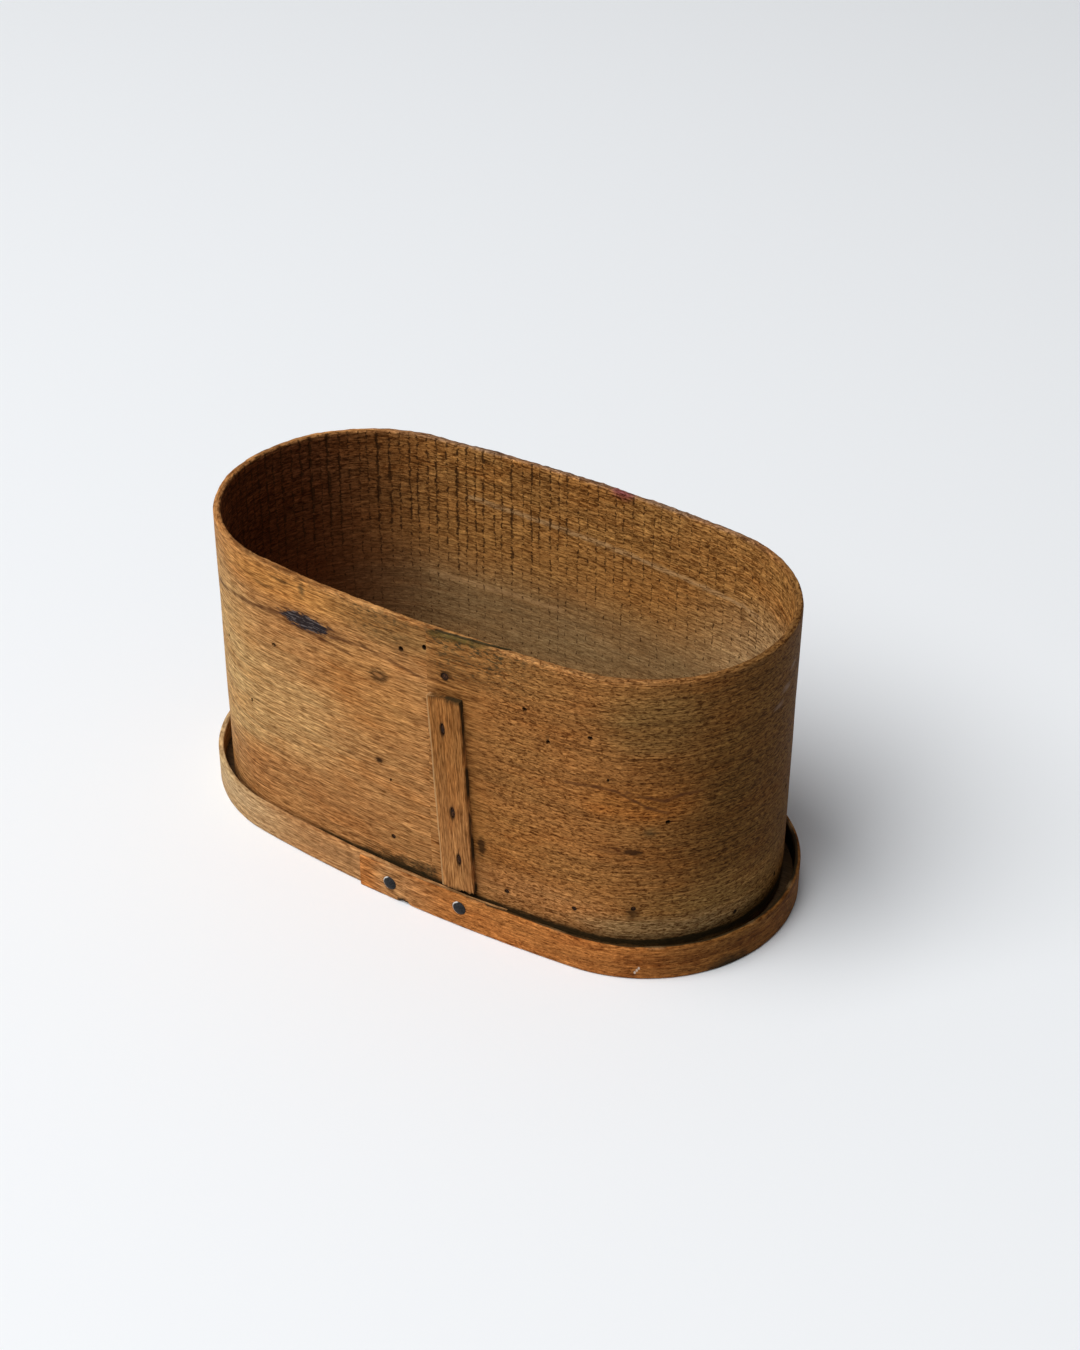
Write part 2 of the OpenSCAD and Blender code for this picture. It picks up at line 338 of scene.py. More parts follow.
class Graph:
    """A node tree, with one short method for each kind of node used here, and the colour made so far."""

    STREAK_CORE = 0.2
    STREAK_FADE = 3

    def __init__(self, owner):
        self.owner = owner
        owner.use_nodes = True
        self.tree = owner.node_tree
        self.colour = None

    def fill(self, node, inputs):
        """Sets a node's inputs to values, or links them to other nodes."""
        for key, value in dict(inputs).items():
            if isinstance(value, bpy.types.NodeSocket):
                self.tree.links.new(value, node.inputs[key])
            else:
                node.inputs[key].default_value = value

    def node(self, kind, inputs=(), **settings):
        made = self.tree.nodes.new(kind)
        for key, value in settings.items():
            setattr(made, key, value)
        self.fill(made, inputs)
        return made

    def attribute(self, name, output="Fac"):
        return self.node("ShaderNodeAttribute", attribute_name=name).outputs[output]

    def place(self):
        """The place on the object, in millimetres."""
        return self.stretch(self.node("ShaderNodeTexCoord").outputs["Object"], (MM, MM, MM))

    def split(self, vector):
        return self.node("ShaderNodeSeparateXYZ", {0: vector}).outputs

    def math(self, operation, a, b=0.0):
        return self.node("ShaderNodeMath", {0: a, 1: b}, operation=operation).outputs[0]

    def times(self, a, b):
        return self.math("MULTIPLY", a, b)

    def plus(self, a, b):
        return self.math("ADD", a, b)

    def minus(self, a, b):
        return self.math("SUBTRACT", a, b)

    def lerp(self, share, a, b):
        """A number between a and b."""
        return self.node("ShaderNodeMix", {0: share, 2: a, 3: b}, data_type="FLOAT").outputs[0]

    def stretch(self, vector, sizes):
        """Vector divided by sizes, so that a noise of scale 1 has features of about those sizes."""
        shares = tuple(1 / size for size in sizes)
        return self.node("ShaderNodeVectorMath", {0: vector, 1: shares}, operation="MULTIPLY").outputs[0]

    def noise(self, vector, sizes, detail, rough, warp=0.0):
        inputs = {"Vector": self.stretch(vector, sizes), "Scale": 1.0, "Detail": detail,
                  "Roughness": rough, "Distortion": warp}
        return self.node("ShaderNodeTexNoise", inputs).outputs["Fac"]

    def ragged(self, vector, sizes, detail, rough, reach):
        """A noise about 0, to fray edges by."""
        return self.times(self.minus(self.noise(vector, sizes, detail, rough), 0.5), reach)

    def step(self, value, low, high, to_low=0.0, to_high=1.0, curve="SMOOTHSTEP"):
        """A curve from to_low, at low, to to_high, at high."""
        inputs = {"Value": value, "From Min": low, "From Max": high, "To Min": to_low, "To Max": to_high}
        return self.node("ShaderNodeMapRange", inputs, interpolation_type=curve).outputs[0]

    def ramp(self, value, *stops):
        made = self.node("ShaderNodeValToRGB", {0: value})
        elements = made.color_ramp.elements
        while len(elements) < len(stops):
            elements.new(0.5)
        for element, (place, colour) in zip(elements, stops):
            element.position = place
            element.color = (*colour, 1)
        return made.outputs[0]

    def mix(self, share, a, b, blend="MIX"):
        inputs = {}
        for key, value in ((0, share), (6, a), (7, b)):
            inputs[key] = (*value, 1) if isinstance(value, tuple) else value
        return self.node("ShaderNodeMix", inputs, data_type="RGBA", blend_type=blend).outputs[2]

    def stain(self, share, tint, blend="MIX"):
        """Moves the colour made so far towards a tint, or multiplies it by the tint, by a share."""
        self.colour = self.mix(share, self.colour, tint, blend)

    def shade(self, value, low, high, share, tint):
        """Multiplies the colour by a tint: by nothing where a value is low, by a share where it is high."""
        self.stain(self.step(value, low, high, 0, share), tint, "MULTIPLY")

    def spot(self, grain, place, sizes, soft, ragged=None):
        """1 inside an ellipse on the grain, 0 outside, with an edge as soft and ragged as asked."""
        away = self.node("ShaderNodeVectorMath", {0: grain, 1: place}, operation="SUBTRACT").outputs[0]
        away = self.stretch(away, sizes)
        away = self.node("ShaderNodeVectorMath", {0: away}, operation="LENGTH").outputs["Value"]
        if ragged is not None:
            away = self.plus(away, ragged)
        return self.step(away, 1 - soft, 1, 1, 0)

    def streak(self, along, up, start, end, half, ragged):
        """1 on the line from start to end on the grain, fading to its sides, and past its ends."""
        level = self.step(along, start[0], end[0], start[1], end[1], "LINEAR")
        off = self.plus(self.math("ABSOLUTE", self.minus(up, level)), ragged)
        line = self.step(off, self.STREAK_CORE * half, half, 1, 0)
        first = self.step(along, start[0] - self.STREAK_FADE, start[0])
        last = self.step(along, end[0], end[0] + self.STREAK_FADE, 1, 0)
        return self.times(line, self.times(first, last))

    def bump(self, height, distance, strength=1.0):
        inputs = {"Height": height, "Distance": distance * MM, "Strength": strength}
        return self.node("ShaderNodeBump", inputs).outputs[0]

    def finish(self, roughness, normal, specular, metallic=0.0):
        """Gives the colour made so far and the other values to the material's shader."""
        self.fill(self.tree.nodes["Principled BSDF"], {
            "Base Color": self.colour, "Roughness": roughness, "Normal": normal,
            "Specular IOR Level": specular, "Metallic": metallic})
        return self.owner


# Wood colours

HONEY = (0.395, 0.182, 0.060)
STRAW = (0.46, 0.275, 0.108)
AMBER = (0.43, 0.178, 0.040)
TAWNY = (0.335, 0.145, 0.046)
BROWN = (0.275, 0.114, 0.031)
OLIVE = (0.225, 0.116, 0.035)
UMBER = (0.112, 0.050, 0.012)
OCHRE = (0.425, 0.199, 0.056)
DRAB = (0.305, 0.188, 0.082)
SAND = (0.48, 0.32, 0.160)
MAROON = (0.146, 0.050, 0.019)
RUSSET = (0.40, 0.146, 0.036)
RUST = (0.30, 0.108, 0.022)
TAN = (0.395, 0.195, 0.074)
BLUSH = (0.24, 0.03, 0.06)
MOSS = (0.034, 0.030, 0.014)
LICHEN = (0.082, 0.056, 0.014)
# Dark dirt, also laid on as painted shade in gaps and crevices
GRIME_AND_SHADE = (0.022, 0.017, 0.008)
PALE = (0.52, 0.31, 0.14)
# Near-black inside pits and holes: painted shade
HOLE = (0.010, 0.006, 0.004)
BARK = (0.016, 0.013, 0.015)
KNOT = (0.085, 0.030, 0.010)
BURR = (0.030, 0.013, 0.004)
ASH = (0.12, 0.10, 0.095)
DUSK = (0.205, 0.130, 0.090)
CHALK = (0.62, 0.52, 0.42)
SCORED = (0.046, 0.019, 0.007)

# Tints that a wood's colour is multiplied by
CLOUD_DARK = (0.97, 0.89, 0.80)
CLOUD_PALE = (1.05, 1.10, 1.12)
RING_DARK = (0.58, 0.47, 0.38)
RING_PALE = (1.22, 1.26, 1.30)
THREAD_DARK = (0.37, 0.29, 0.22)
THREAD_PALE = (1.52, 1.59, 1.65)
FLECK_DARK = (0.36, 0.28, 0.21)
HAIR_DARK = (0.48, 0.40, 0.34)
HAIR_PALE = (1.34, 1.38, 1.42)
CRAZE_DARK = (0.34, 0.26, 0.19)
CRAZE_PALE = (1.36, 1.38, 1.36)
MOTTLE_DARK = (0.50, 0.38, 0.30)
BOARD_DARK = (0.48, 0.39, 0.31)
BOARD_PALE = (1.30, 1.34, 1.38)
BOARD_FLECK = (0.36, 0.27, 0.20)

# Iron colours
BLACK_IRON = (0.010, 0.008, 0.007)
BROWN_RUST = (0.035, 0.016, 0.009)
RED_RUST = (0.13, 0.052, 0.020)
TACK_BLACK = (0.008, 0.008, 0.009)
TACK_GREY = (0.028, 0.028, 0.029)
# Bright iron on the tacks' rims: rubbed metal, also a painted highlight
BRIGHT_IRON = (0.66, 0.65, 0.62)


def blended(tint, share, colour):
    """Colours moved towards one colour by a share for each."""
    return tint + np.asarray(share)[:, None] * (np.array(colour) - tint)


def paint(tint, patches, s, z):
    """Colours with soft patches (length, height, half length, half height, colour, share) laid over them."""
    for at_s, at_z, half_s, half_z, colour, share in patches:
        away = np.hypot((s - at_s) / half_s, (z - at_z) / half_z)
        tint = blended(tint, share * smooth(1.0, 0.3, away), colour)
    return tint


class Wood(Graph):
    """A wood: the tint stored on the mesh, with clouds, figure, rings, fibres, flecks and hairs over it.
    fibre is the length and width of a fibre, in millimetres."""

    def __init__(self, name, fibre=(6.8, 0.76)):
        super().__init__(bpy.data.materials.new(name))
        long, wide = fibre
        self.grain = grain = self.attribute("grain", "Vector")
        self.colour = self.attribute("tint", "Vector")
        clouds = self.noise(grain, (34, 13, 9), detail=3, rough=0.55, warp=0.3)
        figure = self.noise(grain, (60, 1.9, 6), detail=3, rough=0.6, warp=0.4)
        rings = self.noise(grain, (40, 0.95, 4), detail=2, rough=0.6, warp=0.6)
        self.shade(clouds, 0.50, 0.66, 0.8, CLOUD_DARK)
        self.shade(clouds, 0.50, 0.36, 0.8, CLOUD_PALE)
        self.stain(1.0, self.step(figure, 0.34, 0.66, 1.20, 0.80), "MULTIPLY")
        self.shade(rings, 0.58, 0.68, 0.7, RING_DARK)
        self.shade(rings, 0.42, 0.32, 0.6, RING_PALE)
        straight = self.noise(grain, (long, wide, 1.5), detail=2, rough=0.6)
        curls = self.noise(grain, (long * 0.36, wide * 1.1, 1.5), detail=2, rough=0.6, warp=1.0)
        curly = self.attribute("curl")
        self.threads = self.lerp(curly, straight, curls)
        strong = self.lerp(curly, 0.70, 1.0)
        self.stain(self.times(self.step(self.threads, 0.50, 0.63), strong), THREAD_DARK, "MULTIPLY")
        self.stain(self.times(self.step(self.threads, 0.49, 0.36), strong), THREAD_PALE, "MULTIPLY")
        flecks = self.noise(grain, (long * 0.7, wide * 0.85, 1), detail=1, rough=0.5)
        self.shade(flecks, 0.62, 0.70, 0.5, FLECK_DARK)
        hairs = self.noise(grain, (3.8, 0.5, 1), detail=1, rough=0.5)
        self.shade(hairs, 0.54, 0.66, 0.6, HAIR_DARK)
        self.shade(hairs, 0.46, 0.34, 0.6, HAIR_PALE)
        self.stain(self.attribute("plain"), self.attribute("tint", "Vector"))
        self.height = self.plus(self.times(self.threads, -0.6), self.times(flecks, -0.4))

    def worn(self, rough=0.6):
        """Ends the wood: grime with painted shade, pale worn edges with painted highlights, and dark pits
        with painted shade inside, from the mesh, then gloss and relief.
        """
        patches = self.noise(self.grain, (9, 4, 5), detail=4, rough=0.65)
        # Grime, and painted shade where the mesh asks for it
        grime = self.plus(self.attribute("grime"), self.times(patches, 0.7))
        self.stain(self.step(grime, 0.62, 1.15, 0, 0.93), GRIME_AND_SHADE)
        # Pale wear, and painted highlights on edges towards the light
        pale_wear_and_highlight = self.plus(self.attribute("wear"), self.times(patches, 0.5))
        self.stain(self.step(pale_wear_and_highlight, 0.75, 1.15, 0, 0.7), PALE)
        self.stain(self.attribute("pit"), HOLE)
        roughness = self.plus(self.times(self.threads, 0.22), rough - 0.11)
        return self.finish(roughness, self.bump(self.height, 0.22, 0.8), 0.02)


# Marks on the outside: length from the front's middle, height, half sizes, colour, share, softness
OUTSIDE_MARKS = (
    (-52.0, 123.2, 24.0, 7.0, KNOT, 0.55, 1.0),
    (-40.0, 124.0, 12.0, 3.0, KNOT, 0.7, 0.9),
    (-71.0, 121.5, 15.0, 3.0, KNOT, 0.6, 0.9),
    (-75.0, 132.8, 10.0, 1.3, BURR, 0.6, 0.7),
    (-65.0, 138.6, 9.0, 1.3, BURR, 0.7, 0.8),
    (-53.6, 138.6, 2.8, 5.0, MOSS, 0.7, 0.9),
    (178.0, 119.0, 6.0, 2.4, DUSK, 0.8, 0.9),
    (184.5, 126.0, 5.0, 2.0, DUSK, 0.8, 0.9),
    (172.0, 113.5, 6.0, 2.0, DUSK, 0.6, 0.9),
    (-14.2, 111.5, 6.4, 4.6, BURR, 0.8, 0.6),
    (-14.2, 111.8, 3.0, 1.6, TAWNY, 0.85, 0.7),
    (-15.3, 68.2, 4.6, 2.8, KNOT, 0.7, 0.9),
    (-15.3, 68.2, 2.4, 1.6, BURR, 0.95, 0.6),
    (-30.0, 66.0, 6.0, 1.1, KNOT, 0.6, 0.8),
    (103.5, 61.0, 5.4, 1.8, BURR, 0.95, 0.5),
    (97.0, 61.2, 14.0, 2.8, KNOT, 0.45, 0.9),
    (110.1, 71.3, 4.5, 3.6, MOSS, 0.5, 0.9),
    (36.0, 43.8, 2.8, 6.4, BURR, 0.9, 0.6),
    (103.9, 29.0, 3.8, 3.4, BURR, 0.8, 0.7),
    (20.4, 124.3, 4.2, 3.4, BURR, 0.75, 0.8),
    (-1.9, 127.5, 5.0, 3.4, KNOT, 0.4, 0.9),
)
# Depth that a mark on a strip's outside reaches into the wood
MARK_DEPTH = 8.0
BARK_PLACE = (-52.0, 123.2)
BARK_SIZE = (15.5, 4.3)
# Dark lines of the growth rings: chains of places, each its length from the front's middle and its height
OUTSIDE_LINES = (
    ((-118, 114.5), (-97, 118.5), (-78, 120.5), (-62, 122.5)),
    ((-41, 121.6), (-22, 123.0), (-8, 121.5), (8, 119.0)),
    ((-60, 119.5), (-44, 118.5), (-30, 117.0)),
    ((100.5, 91.0), (115.5, 87.0), (122.5, 89.2), (130, 89.7)),
)
LINE_HALF = 1.4
# The clear curve of a growth ring on the right of the front, in the same way
GROWTH_CURVE = ((75, 90.9), (87.6, 92.1), (95.4, 91.3), (103.4, 87.2), (109.1, 83.8), (116, 81.2))
CURVE_HALF = 1.1


def outside_wood():
    """The pot's outside, with its bark, knots, stains and growth lines."""
    g = Wood("band_outside")
    along, up, _ = g.split(g.grain)
    ragged = g.ragged(g.grain, (5, 1.5, 3), detail=4, rough=0.65, reach=1.6)
    broken = g.step(g.noise(g.grain, (9, 3, 3), detail=3, rough=0.6), 0.36, 0.62, 0.35, 0.85)
    for chain in OUTSIDE_LINES:
        for (s0, z0), (s1, z1) in zip(chain, chain[1:]):
            line = g.streak(along, up, (strip_length(s0), z0), (strip_length(s1), z1), LINE_HALF, ragged)
            g.stain(g.times(line, broken), KNOT)
    for start, end in zip(GROWTH_CURVE, GROWTH_CURVE[1:]):
        line = g.streak(along, up, start, end, CURVE_HALF, g.times(ragged, 0.3))
        g.stain(g.times(line, 0.75), KNOT)
    for s, z, half_s, half_z, mark, share, soft in OUTSIDE_MARKS:
        inside = g.spot(g.grain, (strip_length(s), z, 0), (half_s, half_z, MARK_DEPTH), soft, ragged)
        g.stain(g.times(inside, share), mark)
    bark_place = (strip_length(BARK_PLACE[0]), BARK_PLACE[1], 0)
    bark = g.spot(g.grain, bark_place, (*BARK_SIZE, MARK_DEPTH), 0.3, ragged)
    streaks = g.step(g.noise(g.grain, (5.0, 0.8, 2), detail=2, rough=0.6), 0.52, 0.62, 0, 0.85)
    g.stain(g.times(bark, 0.97), g.mix(streaks, BARK, ASH))
    specks = g.step(g.noise(g.grain, (2.6, 1.0, 1.2), detail=3, rough=0.65), 0.48, 0.62)
    g.stain(g.times(specks, g.attribute("moss")), MOSS)
    return g.worn()


# Pale streaks inside: start and end as length along the strip and height, half width, share
INSIDE_STREAKS = (
    ((249, 110), (404, 118), 2.0, 0.7),
    ((356, 72), (426, 72), 2.4, 0.5),
)
SCORE_PITCH = 4.9
# Shift of the cracks' pattern from each space between two scores to the next
CRACK_SHIFT = 37.7


def inside_wood():
    """The pot's inside: crazed by short cracks along the grain, which break off at the upright scores."""
    g = Wood("band_inside", (4.0, 0.85))
    column = g.attribute("column")
    along, up, deep = g.split(g.grain)
    lifted = g.plus(up, g.times(g.math("FLOOR", column), CRACK_SHIFT))
    broken = g.node("ShaderNodeCombineXYZ", {0: along, 1: lifted, 2: deep}).outputs[0]
    ragged = g.ragged(g.grain, (6, 1.2, 2), detail=3, rough=0.6, reach=4.0)
    for start, end, half, share in INSIDE_STREAKS:
        line = g.streak(along, up, start, end, half, ragged)
        g.stain(g.times(line, share), PALE)
    cracks = g.noise(broken, (4.2, 0.85, 2), detail=2, rough=0.55, warp=0.5)
    craze = g.attribute("craze")
    crazed = g.times(g.step(cracks, 0.51, 0.62), craze)
    ridges = g.times(g.step(cracks, 0.46, 0.34), craze)
    g.stain(g.times(crazed, 0.8), CRAZE_DARK, "MULTIPLY")
    g.stain(g.times(ridges, 0.8), CRAZE_PALE, "MULTIPLY")
    gap = g.times(g.math("PINGPONG", column, 0.5), SCORE_PITCH)
    gap = g.plus(gap, g.ragged(g.grain, (1.5, 1.7, 2), detail=2, rough=0.65, reach=4.6))
    reach = g.times(g.attribute("score"), 1.35)
    scored = g.step(g.minus(reach, gap), 0.0, 0.6)
    g.stain(g.times(scored, 0.84), SCORED)
    g.height = g.minus(g.height, g.times(crazed, 0.9))
    return g.worn(0.62)


# A fresh scratch in the hoop, as a slanting row of spots: length along the strip and height, and half sizes
SCRATCH_PLACES = ((110.6, 3.7), (111.4, 4.9), (112.2, 6.1))
SCRATCH_SIZE = (0.6, 1.0)


def hoop_wood():
    """The lid's hoop: mottled, with a fresh scratch."""
    g = Wood("hoop", (5.2, 0.8))
    blots = g.noise(g.grain, (13, 6, 5), detail=4, rough=0.65, warp=0.5)
    g.stain(g.times(g.step(blots, 0.48, 0.62), g.attribute("mottle")), MOTTLE_DARK, "MULTIPLY")
    for place in SCRATCH_PLACES:
        scratch = g.spot(g.grain, (*place, 0), (*SCRATCH_SIZE, MARK_DEPTH), 0.5)
        g.stain(g.times(scratch, 0.85), CHALK)
    return g.worn(0.55)


# Dirt and painted shade on the lid's board, round the pot's foot: half its middle line's length, and how far
# from the line it starts and is full
DIRT_AND_SHADE_RUN = LID_LENGTH / 2 - LID_WIDTH / 2 + LID_TUCK
DIRT_AND_SHADE_REACH = (48.0, 61.0)


def board_wood(name, light, dark, stain, soiled_and_shaded):
    """A flat board, its grain along the oval, with broad stains, and a ring of dirt and painted shade above
    a height.
    """
    g = Graph(bpy.data.materials.new(name))
    place = g.place()
    bands = g.noise(place, (160, 7, 14), detail=4, rough=0.6, warp=0.7)
    g.colour = g.mix(g.step(bands, 0.4, 0.62), light, dark)
    threads = g.noise(place, (6, 1.0, 1.5), detail=2, rough=0.6)
    flecks = g.noise(place, (3, 0.9, 1), detail=2, rough=0.5)
    g.shade(threads, 0.50, 0.64, 0.8, BOARD_DARK)
    g.shade(threads, 0.48, 0.34, 0.8, BOARD_PALE)
    g.shade(flecks, 0.58, 0.70, 0.7, BOARD_FLECK)
    blots = g.noise(place, (34, 22, 20), detail=5, rough=0.7)
    g.stain(g.step(blots, 0.52, 0.72, 0, stain), GRIME_AND_SHADE)
    along, across, up = g.split(place)
    past = g.math("MAXIMUM", g.minus(g.math("ABSOLUTE", along), DIRT_AND_SHADE_RUN), 0.0)
    away = g.math("SQRT", g.plus(g.times(past, past), g.times(across, across)))
    ring = g.step(g.plus(away, g.times(blots, 5.0)), *DIRT_AND_SHADE_REACH, 0.15, 0.8)
    # The ring: dirt, and painted shade where the board shows in the gap round the pot
    g.stain(g.times(g.step(up, soiled_and_shaded - 1, soiled_and_shaded), ring), GRIME_AND_SHADE)
    height = g.plus(g.times(threads, -0.6), g.times(flecks, -0.4))
    roughness = g.plus(g.times(threads, 0.2), 0.52)
    return g.finish(roughness, g.bump(height, 0.18, 0.8), 0.1)


def rusty_iron():
    """Old nails: dark iron under brown rust."""
    g = Graph(bpy.data.materials.new("rusty_iron"))
    rust = g.noise(g.place(), (0.9, 0.9, 0.9), detail=5, rough=0.7)
    g.colour = g.ramp(rust, (0.36, BLACK_IRON), (0.52, BROWN_RUST), (0.68, RED_RUST))
    return g.finish(g.step(rust, 0.3, 0.7, 0.55, 0.85), g.bump(rust, 0.15), 0.06)


def tack_iron():
    """The tacks: dark worn iron, bright along the rubbed edge, which also carries a painted highlight."""
    g = Graph(bpy.data.materials.new("tack_iron"))
    specks = g.noise(g.place(), (0.7, 0.7, 0.7), detail=4, rough=0.65)
    bright = g.step(g.plus(g.attribute("wear"), g.times(specks, 0.5)), 0.7, 1.1)
    dark = g.ramp(specks, (0.35, TACK_BLACK), (0.65, TACK_GREY))
    g.colour = g.mix(bright, dark, BRIGHT_IRON)
    roughness = g.step(bright, 0, 1, 0.5, 0.35)
    return g.finish(roughness, g.bump(specks, 0.06), 0.12, g.step(bright, 0, 1, 0.1, 0.6))


# The pot's band

# Wormholes on the outside: length from the middle of the front, height, half length, half height, depth
WORMHOLES = (
    (-1.9, 129.2, 1.2, 1.2, 1.8), (9.6, 133.9, 1.1, 1.3, 1.6), (56.1, 120.2, 1.0, 1.0, 1.8),
    (66.7, 107.8, 0.9, 0.9, 1.8), (84.8, 115.2, 1.1, 0.9, 1.6), (117.2, 76.2, 1.1, 1.0, 1.8),
    (187.8, 62.6, 1.0, 1.0, 1.6), (-71.5, 104.1, 1.2, 0.8, 1.6), (-107.3, 91.4, 0.8, 1.0, 1.6),
    (-88.7, 67.7, 0.8, 0.8, 1.6), (-9.5, 60.0, 0.5, 0.7, 1.0), (92.5, 96.0, 0.6, 0.6, 1.2),
    (312.0, 84.0, 0.9, 0.9, 1.6), (-289.0, 112.0, 1.0, 0.9, 1.6), (-190.0, 70.0, 0.9, 0.9, 1.6),
    (275.0, 46.0, 0.8, 0.8, 1.4), (-322.0, 58.0, 0.7, 0.8, 1.4), (235.0, 101.0, 0.9, 1.0, 1.6),
)
# Half length, half height and depth of the pit over a bottom nail and over the seam nail
NAIL_PIT = (1.15, 1.15, 0.75)
SEAM_PIT = (1.9, 1.9, 0.6)
# Bottom nails: share of half the length or direction in degrees, and rise as a share of half the board
FRONT_NAILS = ((-0.068, 0.53), (0.353, -0.13), (0.584, 0.16))
BACK_NAILS = ((-0.44, 0.0), (0.0, 0.0), (0.44, 0.0))
END_NAILS = ((-60, 0.7), (-19, -0.75), (6.5, -0.46), (48, 0.0), (135, 0.0), (178, 0.12))


def bottom_nails():
    """Length along the strip and height of every bottom nail."""
    found = [(pot.front(share * POT_LENGTH / 2), rise) for share, rise in FRONT_NAILS]
    found += [(pot.around / 2 - pot.front(share * POT_LENGTH / 2), rise) for share, rise in BACK_NAILS]
    for degrees, rise in END_NAILS:
        turn = math.radians(degrees)
        x = math.copysign(pot.end_x, math.cos(turn)) + pot.end_r * math.cos(turn)
        found.append((pot.along(x, pot.end_r * math.sin(turn)), rise))
    return [(strip_length(s), NAIL_ROW_Z + rise * BOARD_T / 2) for s, rise in found]


def seam_nail_place():
    """Length along the strip and height of the nail above the cleat."""
    lift = CLEAT_H / 2 + SEAM_NAIL_RISE
    x = CLEAT_X - math.tan(CLEAT_LEAN) * lift
    return pot.front(x), CLEAT_TOP_Z + SEAM_NAIL_RISE


def outer_offset(s):
    """How far the band's outer face stands off the oval, with the lap's raised end and its inner layer."""
    raised = SEAM_OUTER_STEP * np.clip(1 - (s - SEAM_START) / SEAM_RISE, 0, 1)
    under = np.clip(1 - (SEAM_END - s) / SEAM_LAP, 0, 1)
    return raised - under * POT_WALL - np.where(under > 0, LAP_GAP / 2, 0)


def inner_offset(s):
    """The same for the band's inner face."""
    scarf = np.clip((s - SEAM_START) / SEAM_LAP, 0, 1)
    proud = SEAM_INNER_STEP * np.clip(1 - (SEAM_END - s) / SEAM_RISE, 0, 1)
    slant = np.maximum(-POT_WALL, LAP_GAP / 2 - scarf * POT_WALL)
    return np.where(scarf < 1, slant, -POT_WALL) - proud


SCORE_SEED = 11
SCORE_STRAY = 0.8
SCORE_DEPTH = 0.35
# Heights at which the scores and cracks inside begin and are full
WORN_HEIGHTS = (58, 112)
# Middles of the back, of the left bend and of the right end, as lengths along the strip
BACK = pot.around * 0.5
LEFT_BEND = pot.around * 0.66
RIGHT_END = pot.around * 0.25


def score_lines():
    """Places of the upright scores on the inside, and how strong each one is."""
    draw = np.random.default_rng(SCORE_SEED)
    places = np.arange(SEAM_START + SEAM_LAP + 6, SEAM_END - SEAM_LAP - 4, SCORE_PITCH)
    places = places + draw.uniform(-SCORE_STRAY, SCORE_STRAY, len(places))
    left_bend = smooth(130, 30, np.abs(places - LEFT_BEND))
    right_end = smooth(200, 70, np.abs(places - RIGHT_END))
    strength = 0.42 + 0.53 * left_bend - 0.34 * right_end
    return places, strength * draw.uniform(0.4, 1.0, len(places))


# The band's mesh: step along it, columns at a score and their space, and where its middle rows start and end
BAND_STEP = 1.5
SCORE_COLUMNS = np.array([-0.45, 0.0, 0.45])
SCORE_SPACE = 0.8
FOOT_SHARE = 0.18
TOP_SHARE = 0.9
BAND_EDGE = 0.9
# Skin that the outside gives up, so that its ripples and pits' lips stay within the CAD solid
BAND_SKIN = 0.06
RIPPLE = 0.10
RIPPLE_SKIN = 0.12


def band_lengths(places):
    """Lengths of the mesh's columns: even steps, with three columns at each score."""
    even = np.arange(SEAM_START, SEAM_END, BAND_STEP)
    clear = np.abs(even[:, None] - places[None, :]).min(1) > SCORE_SPACE
    scores = (places[:, None] + SCORE_COLUMNS[None, :]).ravel()
    return np.unique(np.concatenate([even[clear], scores, [SEAM_START, SEAM_END]]))


def band_rim(s):
    """Heights of the nicked rim: most worn at the back, and least on the right of the front."""
    back = smooth(110, 40, np.abs(s - BACK))
    whole = smooth(45, 15, np.abs(s - 105))
    nicks = 0.35 + 0.2 * wobble(s, 47, 1) + 0.12 * wobble(s, 9, 2) - 0.3 * whole
    nicks += back * (0.25 + 0.35 * np.clip(wobble(s, 31, 3), 0, 1) + 0.15 * wobble(s, 6, 5))
    return RIM_Z - np.clip(nicks, 0, None)


def carve_scores(mesh, s, places, strength):
    """Cuts the wandering scores into the inside, ripples the outside, and stores where the scores are."""
    points = read_points(mesh).reshape(-1, len(s), 3)
    grain = read_grain(mesh).reshape(points.shape)
    around = len(points)
    half = around // 2
    level = grain[half:, :, 1]
    nearest = np.abs(s[:, None] - places[None, :]).argmin(1)
    gap = np.abs(s - places[nearest])
    fade = smooth(*WORN_HEIGHTS, level) * 0.92 + 0.08
    broken = 0.75 + 0.25 * wobble(level + 13 * nearest[None, :], 23, 6)
    marked = strength[nearest] * fade * broken
    carve = marked * (1 - smooth(0.1, 0.5, gap)) * smooth(0, 2.5, RIM_Z - 0.4 - level)
    _, normal = pot.at(s)
    points[half:, :, :2] += normal[None] * (SCORE_DEPTH * carve)[..., None]
    wander = 0.3 * wobble(level + 31 * nearest[None, :], 60, 7)
    wander += 0.25 * wobble(level + 17 * nearest[None, :], 12, 9)
    wander = wander * smooth(1.6, 0.6, gap)[None, :]
    tangent = np.stack([-normal[:, 1], normal[:, 0]], -1)
    points[half:, :, :2] += tangent[None] * wander[..., None] * smooth(0, 6, RIM_Z - level)[..., None]
    ripple = RIPPLE * wobble(grain[:half, :, 0] + 0.4 * grain[:half, :, 1], 37, 8)
    points[:half, :, :2] += normal[None] * (ripple - RIPPLE_SKIN)[..., None]
    write_points(mesh, points.reshape(-1, 3))
    score = np.concatenate([np.zeros((half, len(s))), marked])
    beyond = SCORE_PITCH * np.arange(1, 20)
    columns = np.concatenate([places[0] - beyond[::-1], places, places[-1] + beyond])
    column = np.interp(s, columns, np.arange(len(columns)))
    store(mesh, score=score.ravel(), column=np.broadcast_to(column, (around, len(s))).ravel())
    inner_faces = np.zeros(len(mesh.polygons), np.int32)
    inner_faces[:around * (len(s) - 1)] = np.repeat(np.arange(around) >= half, len(s) - 1)
    mesh.polygons.foreach_set("material_index", inner_faces)


